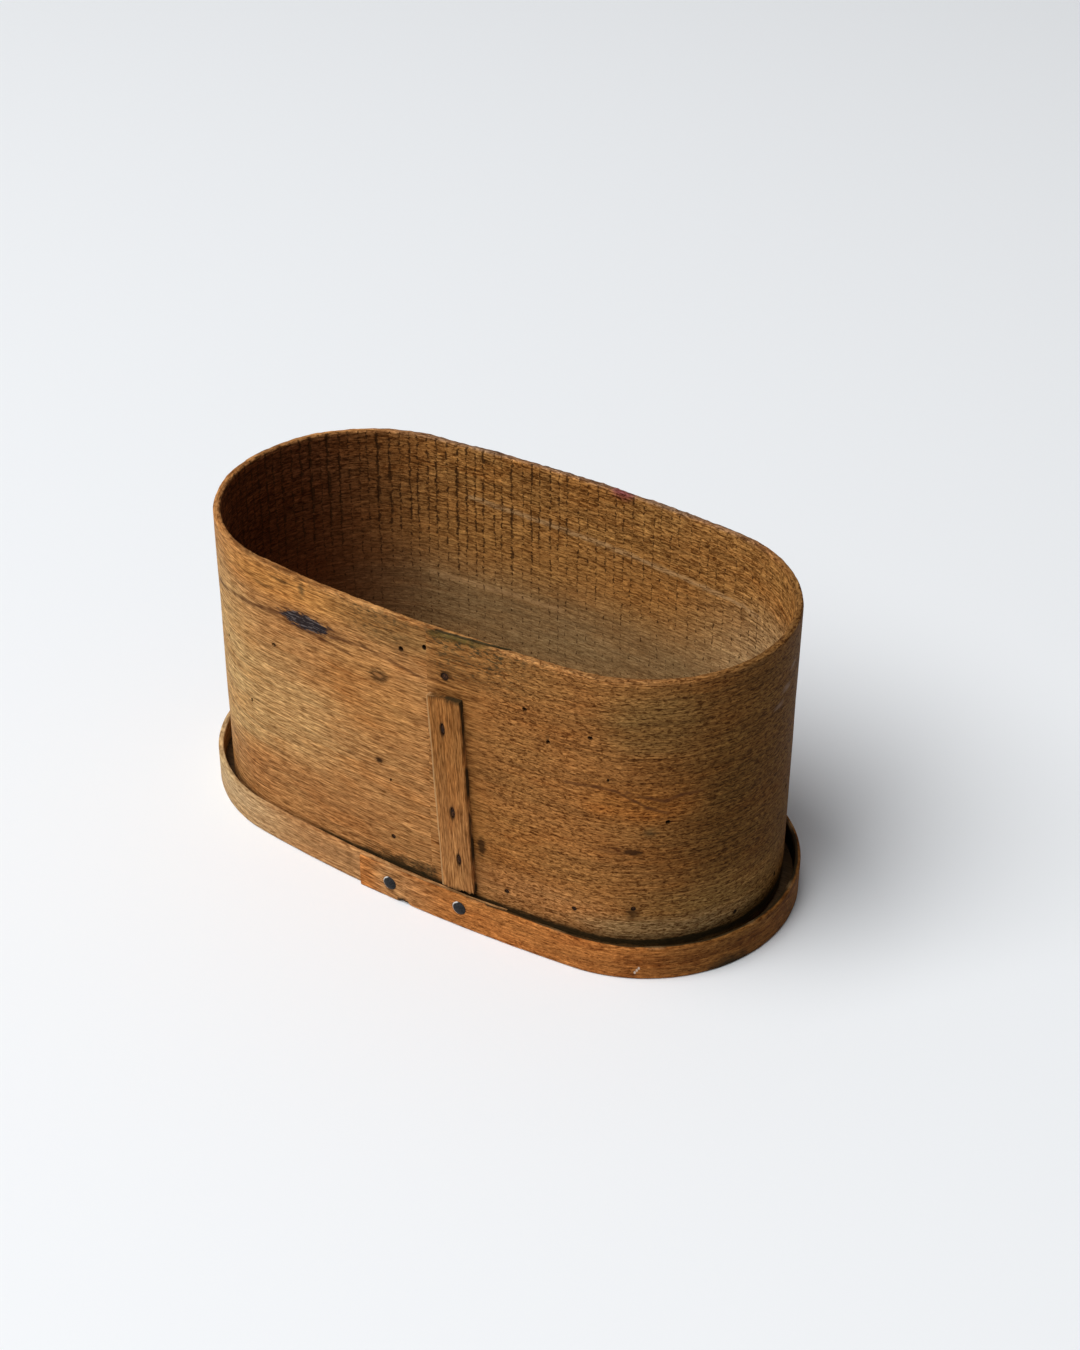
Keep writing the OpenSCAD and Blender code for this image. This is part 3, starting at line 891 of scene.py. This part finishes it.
def pot_band():
    """The bent band: lapped ends, rounded and nicked rim, scores inside, pits and holes outside."""
    places, strength = score_lines()
    s = band_lengths(places)
    rows = np.concatenate([np.linspace(0, FOOT_SHARE, 14, False),
                           np.linspace(FOOT_SHARE, TOP_SHARE, 28, False),
                           np.linspace(TOP_SHARE, 1, 9)])
    foot = FOOT_Z + 0.12 + 0.1 * wobble(s, 21, 4)
    out = outer_offset(s) - BAND_SKIN
    mesh = strip_mesh("pot_band", pot, s, out, inner_offset(s), foot, band_rim(s), rows, BAND_EDGE)
    carve_scores(mesh, s, places, strength)
    pits = [(strip_length(hole[0]), *hole[1:]) for hole in WORMHOLES]
    pits += [(*place, *NAIL_PIT) for place in bottom_nails()]
    pits.append((*seam_nail_place(), *SEAM_PIT))
    refine(mesh, pits, reach=1.6, cuts=3)
    refine(mesh, pits, reach=0.5, cuts=1)
    press_pits(mesh, pot, pits)
    band_tints(mesh)
    new_object("bent_band", mesh, "pot", "band_wood", (outside_wood(), inside_wood()), "pot_band")


# A red stain on the back of the rim: its length along the strip and its half length
BLUSH_AT = 325
BLUSH_HALF = 8
# Patches of colour on the pot: length from the front's middle, height, half sizes, colour, share
LEFT_PATCHES = (
    (-112, 80, 48, 75, STRAW, 0.9),
    (-70, 72, 55, 38, STRAW, 0.55),
    (-66, 137, 60, 14, AMBER, 0.7),
    (-55, 30, 90, 22, TAWNY, 0.8),
    (-5, 137, 45, 14, OLIVE, 0.6),
    (-20, 100, 40, 30, AMBER, 0.25),
)
RIGHT_PATCHES = (
    (38, 136, 48, 16, OLIVE, 0.25),
    (62, 24, 75, 16, TAWNY, 0.95),
    (112, 126, 34, 24, OLIVE, 0.8),
    (40, 55, 40, 20, AMBER, 0.18),
    # The dark right end: darker wood, partly painted shade of the end that is turned from the light
    (172, 80, 88, 150, UMBER, 0.95),
    (106, 84, 34, 12, RUST, 0.7),
    (140, 24, 62, 26, OLIVE, 0.75),
    (118, 20, 60, 9, DRAB, 0.6),
    (11, 60, 8, 100, HONEY, 0.85),
)
INSIDE_PATCHES = (
    (185, 84, 125, 50, SAND, 1.0),
    (530, 95, 138, 220, MAROON, 1.0),
    (BLUSH_AT, 143.2, BLUSH_HALF, 4, BLUSH, 0.7),
)
# The gap between the pot and the hoop: lengths from the front's middle, and the gap's width there, which
# sets where the painted shade of the gap starts on the wall
GAP_LENGTHS = (0, 90, 130, 180)
GAP_WIDTHS = (1.2, 1.8, 3.4, 5.6)


def band_colour(s, z, depth, front, left):
    """The band's colour at each vertex: patches, worn rim, the right end darkened partly as painted shade,
    and the dark gap and edge of the lap.
    """
    inner = depth > POT_WALL / 2
    below_rim = RIM_Z - z
    right_side = paint(np.array(BROWN), RIGHT_PATCHES, s, z)
    left_side = paint(np.array(HONEY), LEFT_PATCHES, front, z)
    outer_tint = right_side + left[:, None] * (left_side - right_side)
    inner_tint = paint(blended(np.array(OCHRE), smooth(98, 62, z), DRAB), INSIDE_PATCHES, s, z)
    tint = np.where(inner[:, None], inner_tint, outer_tint)
    edge = smooth(1.8, 0.3, below_rim)
    tint = blended(tint, 0.8 * edge * (1 - at_back(s)), HONEY)
    tint = blended(tint, 0.75 * edge * at_right(s), UMBER)
    tint = blended(tint, 0.8 * edge * at_back(s), DUSK)
    tint = blended(tint, 0.6 * edge * smooth(1.0, 0.3, np.abs(s - BLUSH_AT) / BLUSH_HALF), BLUSH)
    outer_layer = (s > SEAM_START + 6) & (s < SEAM_START + SEAM_LAP) & (depth > -inner_offset(s) - 0.6)
    inner_layer = (s > SEAM_END - SEAM_LAP + 3) & (depth < -outer_offset(s) + 0.6)
    in_gap = (outer_layer | inner_layer) & (below_rim < 2.6)
    tint = blended(tint, np.where(in_gap, 0.93, 0.0), MOSS)
    reach = np.interp(s, (12, 42), (4.4, 1.4))
    lap_edge = smooth(11, 13, s) * smooth(46, 34, s) * smooth(1.0, 0.5, below_rim / reach)
    return blended(tint, np.where(inner, 0, lap_edge * (0.84 + 0.14 * wobble(s, 2.6, 41))), LICHEN)


def at_back(s):
    """1 at the back of the band, 0 elsewhere."""
    return smooth(120, 60, np.abs(s - BACK))


def at_right(s):
    """1 at the right end of the band, which is painted darker there partly as shade, 0 elsewhere."""
    return smooth(90, 150, s) * smooth(280, 220, s)


def band_moss(z, front, wedge):
    """Dark specks on the outside: below the rim, beside the cleat's head, and in the wedge at the foot."""
    below_rim = RIM_Z - z
    left_moss = 0.45 * smooth(26, 10, np.abs(front + 16)) * (1 - smooth(4, 10, front))
    right_moss = 0.8 * smooth(36, 8, np.abs(front - 32)) * smooth(8, 13, front)
    moss = (left_moss + right_moss) * smooth(112, 142, z) * smooth(0.8, 2.2, below_rim)
    return moss + (0.45 * smooth(5, 1, below_rim) * smooth(110, 60, np.abs(front)) + 0.75 * wedge)


def band_grime(z, front, wedge, inner):
    """Dirt and painted shade: painted shade of the gap at the hoop, with a dirt line at the hoop's top, and
    dirt in the wedge, above the cleat, and below the rim inside.
    """
    # Painted shade: the wall is darkened where the hoop hides it, with a dark line where the hoop's top edge
    # meets it, weaker on the left
    above = z - LID_HEIGHT + 0.7 * np.interp(np.abs(front), GAP_LENGTHS, GAP_WIDTHS)
    gap_shade_and_tide = np.where(above > 0, 0.95 * hump(above, 0, 1.0), 0.55 + 0.4 * hump(above, 0, 2.5))
    gap_shade_and_tide = gap_shade_and_tide * (1 - 0.45 * smooth(-35, -60, front))
    cleat_head = 0.16 * hump(front, 28, 40) * smooth(124, 138, z)
    inside = 0.12 + 0.1 * smooth(RIM_Z - 12, RIM_Z - 2, z)
    return np.where(inner, inside, np.maximum(gap_shade_and_tide, 0.58 * wedge) + cleat_head)


def band_tints(mesh):
    """The band's colour, and where it is mossy, curly, plain, grimy with painted shade, worn and crazed, for
    each vertex.
    """
    s, z, depth = read_grain(mesh).T
    inner = depth > POT_WALL / 2
    front = np.where(s > SEAM_START + pot.around / 2, s - pot.around, s)
    left = smooth(pot.around * 0.55, pot.around * 0.80, s)
    wedge = smooth(-40, -12, front) * smooth(18, 12, front) * smooth(11, 2, z - LID_HEIGHT - 0.12 * front)
    worn = smooth(2.0, 0.2, RIM_Z - z) * np.where(inner, 0.34, 0.30)
    store(mesh,
          tint=np.clip(band_colour(s, z, depth, front, left), 0, 1),
          moss=np.where(inner, 0, np.clip(band_moss(z, front, wedge), 0, 1)),
          curl=np.where(inner, 0.5, 0.95 * smooth(22, 48, s) * (1 - left)),
          plain=np.where(inner, 0.3 * smooth(128, 104, z), 0),
          grime=np.clip(band_grime(z, front, wedge, inner), 0, 1),
          wear=worn * (1 - at_back(s)) * (1 - 0.8 * at_right(s)),
          craze=np.where(inner, 0.25 + 0.75 * smooth(*WORN_HEIGHTS, z), 0))


# The lid

HOOP_STEP = 1.2
HOOP_ROWS = 12
HOOP_EDGE = 0.8
HOOP_SKIN = 0.04
# Thickness of the hoop's tapered end
THIN_END = 0.3
# The chip in the hoop's foot: length from the lap's outer end, and half length
CHIP_AT = 23.5
CHIP_HALF = 2.6
# The dent round a tack: how far it goes past the head, its depth, and how dark it is painted, as shade round
# the head
DENT_REACH = 0.3
DENT_DEPTH = 0.12
DENT_DARK = 0.35
# Patches of colour on the hoop: length from its lap's outer end, height, half sizes, colour, share
HOOP_PATCHES = (
    (5, 8, 45, 20, TAN, 0.8),
    (0, 8, 14, 30, RUSSET, 0.85),
    (205, 8, 95, 40, UMBER, 0.78),
    (330, 8, 120, 40, BROWN, 0.9),
)
HOOP_LEFT_PATCHES = ((-110, 8, 80, 40, SAND, 0.95),)


def tack_places():
    """Length along the hoop and height of each tack."""
    first = LID_START + TACK_FIRST
    return [(first + i * TACK_PITCH, LID_HEIGHT / 2 * (1 + rise)) for i, rise in enumerate(TACK_RISES)]


def lid_hoop():
    """The lid's hoop: one lapped strip, chipped below, standing round the pot's foot."""
    s = np.unique(np.concatenate([np.arange(LID_START, LID_END, HOOP_STEP), [LID_END]]))
    raised = LID_STEP * np.clip(1 - (s - LID_START) / LID_RISE, 0, 1)
    scarf = np.clip((s - LID_START) / LID_LAP, 0, 1)
    under = np.clip(1 - (LID_END - s) / LID_LAP, 0, 1)
    out = raised - under * LID_WALL - np.where(under > 0, LAP_GAP / 2, 0)
    out = np.where(s == LID_END, -LID_WALL + THIN_END, out)
    inside = np.where(scarf < 1, np.maximum(-LID_WALL, LAP_GAP / 2 - scarf * LID_WALL), -LID_WALL)
    inside = np.minimum(inside, out - THIN_END)
    chip = np.exp(-((s - LID_START - CHIP_AT) / CHIP_HALF) ** 4)
    foot = 0.10 + 0.08 * wobble(s, 19, 31) + chip * (1.1 + 0.5 * wobble(s, 1.9, 32))
    rim = LID_HEIGHT - 0.15 + 0.12 * wobble(s, 33, 33)
    rows = np.linspace(0, 1, HOOP_ROWS)
    mesh = strip_mesh("lid_hoop", lid, s, out - HOOP_SKIN, inside, foot, rim, rows, HOOP_EDGE)
    dent = TACK_R + DENT_REACH
    pits = [(*place, dent, dent, DENT_DEPTH) for place in tack_places()]
    refine(mesh, pits, reach=1.5, cuts=2)
    press_pits(mesh, lid, pits, DENT_DARK)
    hoop_tints(mesh)
    turn = np.array(Matrix.Rotation(LID_TURN, 3, "Z"))
    write_points(mesh, read_points(mesh) @ turn.T)
    new_object("bent_hoop", mesh, "lid", "hoop_wood", (hoop_wood(),), "lid_hoop")


def hoop_tints(mesh):
    """The hoop's colour, and where it is curly, plain, mottled, grimy with painted shade, and worn with a
    painted highlight, for each vertex.
    """
    length, z, depth = read_grain(mesh).T
    back = length - LID_START
    left = smooth(lid.around * 0.55, lid.around * 0.75, back)
    right_side = paint(np.array(RUSSET), HOOP_PATCHES, back, z)
    left_side = paint(np.array(TAN), HOOP_LEFT_PATCHES, back - lid.around, z)
    # Darker towards the foot, low on the right of the front, and in the chip; painted shade along the top
    # edge on the right, where it meets the pot, and on the inner face, in the gap round the pot
    grime = 0.22 * smooth(3.5, 0.5, z) + 0.5 * hump(back, 175, 14) * smooth(10, 4, z)
    grime += 0.22 * smooth(LID_HEIGHT - 1.3, LID_HEIGHT, z) * (1 - left) + 0.06
    grime += 0.7 * smooth(1.0, 0.4, np.hypot((back - 23) / 4.5, (z - 1.5) / 2.4))
    grime += np.where(depth > LID_WALL / 2, 0.8 - 0.5 * left, 0)
    store(mesh,
          tint=right_side + left[:, None] * (left_side - right_side),
          curl=0.55 * (1 - left) * smooth(20, 60, back),
          plain=0.2 * left,
          mottle=0.62 * (1 - left) * smooth(60, 130, back),
          grime=np.clip(grime, 0, 1),
          # Pale top edge: a painted highlight along it, with wear
          wear=0.7 * smooth(1.6, 0.2, LID_HEIGHT - z) * (0.6 + 0.4 * wobble(length, 40, 35)))


def lathe(profile, steps, matrix, squash=1.0, rough=0.0, seed=0):
    """Points and faces of a turned form along local X, with its outline as (height, radius) from the tip."""
    draw = np.random.default_rng(seed)
    points = [(profile[0][0], 0, 0)]
    for height, radius in profile[1:]:
        for k in range(steps):
            angle = 2 * math.pi * k / steps
            r = radius * (1 + rough * draw.uniform(-1, 1))
            points.append((height, r * squash * math.cos(angle), r * math.sin(angle)))
    points.append((profile[-1][0], 0, 0))
    rings = len(profile) - 1
    last = 1 + (rings - 1) * steps
    faces = []
    for k in range(steps):
        after = (k + 1) % steps
        faces.append((0, 1 + k, 1 + after))
        for first in range(1, last, steps):
            second = first + steps
            faces.append((first + k, second + k, second + after, first + after))
        faces.append((len(points) - 1, last + after, last + k))
    return [matrix @ Vector(p) for p in points], faces


def group_mesh(name, forms):
    """One mesh of several closed forms, each a list of points in millimetres and a list of faces."""
    points, faces = [], []
    for form_points, form_faces in forms:
        first = len(points)
        points += [tuple(p * MM) for p in form_points]
        faces += [tuple(first + i for i in face) for face in form_faces]
    mesh = bpy.data.meshes.new(name)
    mesh.from_pydata(points, [], faces)
    return mesh


def on_strip(oval, s, z, out, turn=0.0):
    """The place on a strip's outside, with local X outwards, Y along the strip and Z up."""
    (x, y), (nx, ny) = (a[0] for a in oval.at([s]))
    place = Matrix(((nx, -ny, 0, x + nx * out), (ny, nx, 0, y + ny * out), (0, 0, 1, z), (0, 0, 0, 1)))
    return Matrix.Rotation(turn, 4, "Z") @ place


TACK_SHARP = 60
TACK_SIDES = 40
TACK_SKIN = 0.06
DOME_STEPS = 9
DOME_POWER = 2.6
# A tack below its dome: height, and radius as a share of the head's, then its neck and tip in millimetres
TACK_RIM = ((0.18, 0.985), (0.02, 1.0), (-0.3, 0.97))
TACK_SHANK = ((-0.5, 0.85), (-2.4, 0.7))


def lid_tacks():
    """Two domed tacks, their rims bright on the left: rubbed wear, with a painted highlight on the side
    towards the light.
    """
    outline = [(TACK_H, 0)]
    for i in range(1, DOME_STEPS):
        outline.append((TACK_H * (1 - (i / DOME_STEPS) ** DOME_POWER), TACK_R * i / DOME_STEPS))
    outline += [(height, TACK_R * share) for height, share in TACK_RIM]
    outline += TACK_SHANK
    forms = []
    for s, z in tack_places():
        out = LID_STEP * (1 - (s - LID_START) / LID_RISE) - TACK_SKIN
        forms.append(lathe(outline, TACK_SIDES, on_strip(lid, s, z, out, LID_TURN)))
    mesh = group_mesh("lid_tacks", forms)
    wear = []
    for points, _ in forms:
        for point in points:
            off = point - points[0]
            away = math.hypot(off.x, off.z) / TACK_R
            # The left side, towards the light, gets the painted highlight
            side = 0.5 - 0.5 * off.x / TACK_R
            wear.append(float(smooth(0.70, 0.95, away) * smooth(0.25, 0.8, side)))
    store(mesh, wear=wear)
    new_object("domed_tacks", mesh, "lid", "tack_iron", (tack_iron(),), "lid_tacks", sharp=TACK_SHARP)


# The cleat and the nails

CLEAT_SKIN = 0.05
CLEAT_FACE = CLEAT_T - CLEAT_SKIN
CLEAT_EDGE = 0.7
CLEAT_COLUMNS = 31
CLEAT_ROWS = 130
# How much narrower the cleat is at its bed than at half its thickness, on each side
CLEAT_BED_INSET = 0.1
# Shift of the cleat's grain, so that it repeats no other piece's
CLEAT_GRAIN = 400.0


def seam_matrix(x, z):
    """The place on the raised outer layer of the lap at x, with local X outwards, Y along and Z up."""
    pivot_s = pot.front(SEAM_X + SEAM_RISE)
    (px, py), _ = (a[0] for a in pot.at([pivot_s]))
    swing = Matrix.Rotation(math.asin(SEAM_OUTER_STEP / SEAM_RISE), 4, "Z")
    pivot = Matrix.Translation((px, py, 0))
    return pivot @ swing @ pivot.inverted() @ on_strip(pot, pot.front(x), z, 0)


def cleat_matrix():
    """The middle of the cleat's bed, leaned with the cleat."""
    return seam_matrix(CLEAT_X, CLEAT_FOOT_Z + CLEAT_H / 2) @ Matrix.Rotation(CLEAT_LEAN, 4, "X")


def cleat_outline():
    """The cleat's cross-section as (depth, side): its face, right edge, bed and left edge."""
    half = CLEAT_W / 2
    face = [(CLEAT_FACE, a * (half - CLEAT_EDGE)) for a in np.linspace(-1, 1, CLEAT_COLUMNS)]
    right = []
    for turn in (math.pi / 8, math.pi / 4, math.pi * 3 / 8):
        depth = CLEAT_FACE - CLEAT_EDGE * (1 - math.cos(turn))
        right.append((depth, half - CLEAT_EDGE * (1 - math.sin(turn))))
    right.append((CLEAT_FACE * 0.5, half))
    left = [(depth, -side) for depth, side in reversed(right)]
    bed = [(CLEAT_SKIN, a * (half - CLEAT_BED_INSET)) for a in (1, 0.33, -0.33, -1)]
    return np.array(face + right + bed + left)


def seam_cleat():
    """The upright cleat: a split strip with worn edges, a ragged foot, and a split pit at each nail."""
    outline = cleat_outline()
    up = np.linspace(-CLEAT_H / 2, CLEAT_H / 2, CLEAT_ROWS)
    depth = np.tile(outline[:, 0], (CLEAT_ROWS, 1))
    side = np.tile(outline[:, 1], (CLEAT_ROWS, 1))
    level = np.tile(up[:, None], (1, len(outline)))
    right_side = 0.22 * wobble(level, 31, 41) - 0.22
    left_side = 0.18 * wobble(level, 43, 42) + 0.2
    side += np.where(side > 0, right_side, left_side)
    foot = smooth(6, 0, level + CLEAT_H / 2)
    top = smooth(5, 0, CLEAT_H / 2 - level)
    level = level + foot * (0.7 + 0.55 * wobble(side, 5.5, 43) + 0.5 * wobble(side, 1.7, 44))
    level = level - top * (0.35 + 0.25 * wobble(side, 6, 45))
    face = depth > CLEAT_FACE - 0.01
    depth -= np.where(face, 0.12 + 0.10 * wobble(side + 0.1 * level, 7, 46), 0)
    dark = np.zeros_like(depth)
    for high, shift in CLEAT_NAILS:
        off = side - shift
        rise = level - high * CLEAT_H / 2
        pit = np.hypot(off / 1.35, rise / 3.6)
        split = np.hypot((off - 0.03 * rise) / 0.45, rise / 6.5)
        depth -= np.where(face, 0.85 * (1 - smooth(0.5, 1.0, pit)) + 0.3 * (1 - smooth(0.3, 1.0, split)), 0)
        # The pits and splits are darkened as painted shade
        shadow = np.maximum(1 - smooth(0.65, 1.2, pit), 0.8 * (1 - smooth(0.4, 1.1, split)))
        dark = np.maximum(dark, np.where(face, shadow, 0))
    matrix = cleat_matrix()
    local = np.stack([depth, side, level], -1).reshape(-1, 3)
    points = local @ np.array(matrix.to_3x3()).T + np.array(matrix.translation)
    number = np.arange(len(local)).reshape(depth.shape)
    beside = np.roll(number, -1, axis=1)
    quads = np.stack([number[:-1], beside[:-1], beside[1:], number[1:]], -1)
    faces = quads.reshape(-1, 4).tolist() + [number[0].tolist(), number[-1].tolist()]
    mesh = bpy.data.meshes.new("seam_cleat")
    mesh.from_pydata((points * MM).tolist(), [], faces)
    cleat_tints(mesh, local)
    store(mesh, grain=local[:, [2, 1, 0]] + np.array([CLEAT_GRAIN, 0, 0]), pit=dark.ravel())
    split_caps(mesh)
    material = Wood("cleat", (9.0, 0.72)).worn(0.62)
    new_object("split_cleat", mesh, "pot", "cleat_wood", (material,), "seam_cleat")


def cleat_tints(mesh, local):
    """The cleat's colour, and where it is curly, plain, grimy and worn, with a painted shadow on the right
    side and a painted highlight on the left edge, for each vertex.
    """
    depth, side, level = local.T
    half = CLEAT_W / 2
    high = level / (CLEAT_H / 2)
    # Painted shadow down the right side, which faces away from the light
    right = smooth(half - 0.6, half, side) * smooth(CLEAT_T - 0.2, CLEAT_T - 1.0, depth)
    ends = smooth(0.93, 1.0, np.abs(high))
    store(mesh,
          tint=blended(np.array(TAWNY), smooth(-0.6, 0.7, high), BROWN),
          curl=np.zeros(len(local)),
          plain=np.full(len(local), 0.1),
          grime=np.clip(0.06 + 0.95 * right + 0.5 * ends, 0, 1),
          # Pale left edge: a painted highlight on the edge towards the light, with wear
          wear=0.85 * smooth(-half + 1.9, -half + 0.8, side))


def split_caps(mesh):
    """Splits the many-sided end faces of a swept form into triangles."""
    work = bmesh.new()
    work.from_mesh(mesh)
    caps = [face for face in work.faces if len(face.verts) > 4]
    bmesh.ops.triangulate(work, faces=caps, ngon_method="EAR_CLIP")
    work.to_mesh(mesh)
    work.free()


NAIL_SHARP = 50
NAIL_SIDES = 18
NAIL_ROUGH = 0.05
NAIL_TAPER = 1.5
# A nail's head from its top down: depth in millimetres, and radius as a share of the head's
NAIL_HEAD = ((0.0, 0.0), (0.02, 0.35), (0.06, 0.7), (0.16, 0.93), (0.34, 1.0), (0.62, 0.96))
NAIL_NECK = 0.8
# Radii of a nail's neck, shank and tip
NAIL_RADII = (0.75, 0.7, 0.25)
# First seeds of the cleat's nails and of the seam nail. The bottom nails start at 0
CLEAT_NAIL_SEED = 50
SEAM_NAIL_SEED = 70


def nail_form(matrix, head_r, sunk, length, squash=1.0, seed=0):
    """A hand-made nail along local X: a rough, slightly domed head and a tapered shank."""
    outline = [(-sunk - depth, share * head_r) for depth, share in NAIL_HEAD]
    outline += zip((-sunk - NAIL_NECK, -length + NAIL_TAPER, -length), NAIL_RADII)
    return lathe(outline, NAIL_SIDES, matrix, squash, NAIL_ROUGH, seed)


def on_band(s, z):
    """The place on the band's outside, as on_strip gives it."""
    return on_strip(pot, s, z, float(outer_offset(np.array([s]))[0]) - BAND_SKIN)


def nails():
    """The nails of the pot, each node's as one piece."""
    bottom = []
    for i, place in enumerate(bottom_nails()):
        bottom.append(nail_form(on_band(*place), head_r=0.95, sunk=0.55, length=21.5, seed=i))
    cleat = []
    for i, (high, shift) in enumerate(CLEAT_NAILS):
        place = cleat_matrix() @ Matrix.Translation((CLEAT_T, shift, high * CLEAT_H / 2))
        cleat.append(nail_form(place, head_r=2.1, sunk=0.62, length=CLEAT_T + POT_WALL - 0.1, squash=0.42,
                               seed=CLEAT_NAIL_SEED + i))
    seam = nail_form(on_band(*seam_nail_place()), head_r=1.6, sunk=0.3, length=POT_WALL + 0.6,
                     seed=SEAM_NAIL_SEED)
    iron = rusty_iron()
    for name, node, forms in (("bottom_nails", "pot_bottom_nails", bottom),
                              ("cleat_nails", "seam_cleat_nails", cleat),
                              ("lap_nail", "seam_nail", [seam])):
        new_object(name, group_mesh(node, forms), "pot", "nail_iron", (iron,), node, sharp=NAIL_SHARP)


# Height above which the lid's board gets its ring of dirt and painted shade
LID_DIRT_AND_SHADE_Z = 5.5


def boards():
    """The two boards keep their CAD solids, and get wood along the oval."""
    for node, material in (("pot_bottom", board_wood("pot_board", DRAB, OLIVE, 0.6, RIM_Z)),
                           ("lid_board", board_wood("lid_wood", TAN, TAWNY, 0.45, LID_DIRT_AND_SHADE_Z))):
        slots = frame["nodes"][node].data.materials
        slots.clear()
        slots.append(material)


# Floor, light and camera

FLOOR_COLOUR = (0.853, 0.873, 0.90, 1)
FLOOR_REACH = 6.0
SKY_COLOUR = (0.87, 0.88, 0.905, 1)
SKY_LIGHT = (0.94, 0.97, 1.0, 1)
# Strength of the sky's light from the left and from the right
SKY_LEFT = 0.30
SKY_RIGHT = 0.10
WINDOW_DIRECTION = Vector((-0.46, -0.89, 1.65)).normalized()
WINDOW_DISTANCE = 5.0
WINDOW_SIZE = 4.2
WINDOW_POWER = 300.0
WINDOW_COLOUR = (1.0, 0.995, 0.985)
LIT_PLACE = Vector((0, 0, 0.07))
PHOTO_SIZE = (1080, 1350)
FOCAL_PIXELS = 2340.0
SENSOR_WIDTH = 36.0
CAMERA_AZIMUTH = math.radians(32.34)
CAMERA_ELEVATION = math.radians(34.24)
CAMERA_ROLL = math.radians(0.355)
CAMERA_DISTANCE = 1030.7
CAMERA_TARGET = Vector((10.5, 16.1, 72.3))
CAMERA_RANGE = (0.05, 30.0)


def floor():
    """A pale floor that keeps the shadow."""
    g = Graph(bpy.data.materials.new("floor"))
    g.fill(g.tree.nodes["Principled BSDF"],
           {"Base Color": FLOOR_COLOUR, "Roughness": 0.9, "Specular IOR Level": 0.1})
    mesh = bpy.data.meshes.new("floor")
    signs = ((-1, -1), (1, -1), (1, 1), (-1, 1))
    mesh.from_pydata([(x * FLOOR_REACH, y * FLOOR_REACH, 0) for x, y in signs], [], [(0, 1, 2, 3)])
    plane = bpy.data.objects.new("floor", mesh)
    bpy.context.scene.collection.objects.link(plane)
    mesh.materials.append(g.owner)


def world():
    """Soft light from all round, weaker from the right. The camera and reflections see a pale background."""
    g = Graph(bpy.data.worlds.new("studio"))
    light = g.tree.nodes["Background"]
    across, _, _ = g.split(g.node("ShaderNodeTexCoord").outputs["Generated"])
    strength = g.step(across, -1, 1, SKY_LEFT, SKY_RIGHT, "LINEAR")
    g.fill(light, {"Color": SKY_LIGHT, "Strength": strength})
    seen = g.node("ShaderNodeBackground", {"Color": SKY_COLOUR})
    path = g.node("ShaderNodeLightPath").outputs
    shown = g.math("MAXIMUM", path["Is Camera Ray"], path["Is Glossy Ray"])
    shown = g.math("MAXIMUM", shown, path["Is Transmission Ray"])
    choose = g.node("ShaderNodeMixShader", {0: shown, 1: light.outputs[0], 2: seen.outputs[0]})
    g.fill(g.tree.nodes["World Output"], {"Surface": choose.outputs[0]})
    bpy.context.scene.world = g.owner


def window():
    """A soft square light that faces the pot."""
    lamp = bpy.data.lights.new("window", "AREA")
    lamp.size = WINDOW_SIZE
    lamp.energy = WINDOW_POWER
    lamp.color = WINDOW_COLOUR
    made = bpy.data.objects.new("window", lamp)
    bpy.context.scene.collection.objects.link(made)
    made.location = LIT_PLACE + WINDOW_DIRECTION * WINDOW_DISTANCE
    made.rotation_euler = WINDOW_DIRECTION.to_track_quat("Z", "Y").to_euler()


def camera():
    """The photograph's view."""
    lens = bpy.data.cameras.new("camera")
    lens.sensor_width = SENSOR_WIDTH
    lens.lens = FOCAL_PIXELS / max(PHOTO_SIZE) * lens.sensor_width
    lens.clip_start, lens.clip_end = CAMERA_RANGE
    made = bpy.data.objects.new("camera", lens)
    bpy.context.scene.collection.objects.link(made)
    a, e = CAMERA_AZIMUTH, CAMERA_ELEVATION
    away = Vector((math.sin(a) * math.cos(e), -math.cos(a) * math.cos(e), math.sin(e)))
    made.location = (CAMERA_TARGET + CAMERA_DISTANCE * away) * MM
    turn = (-away).to_track_quat("-Z", "Y").to_matrix().to_4x4() @ Matrix.Rotation(CAMERA_ROLL, 4, "Z")
    made.rotation_euler = turn.to_euler()
    bpy.context.scene.camera = made


pot_band()
lid_hoop()
lid_tacks()
seam_cleat()
nails()
boards()
floor()
world()
window()
camera()

bpy.context.scene.view_settings.view_transform = "Standard"
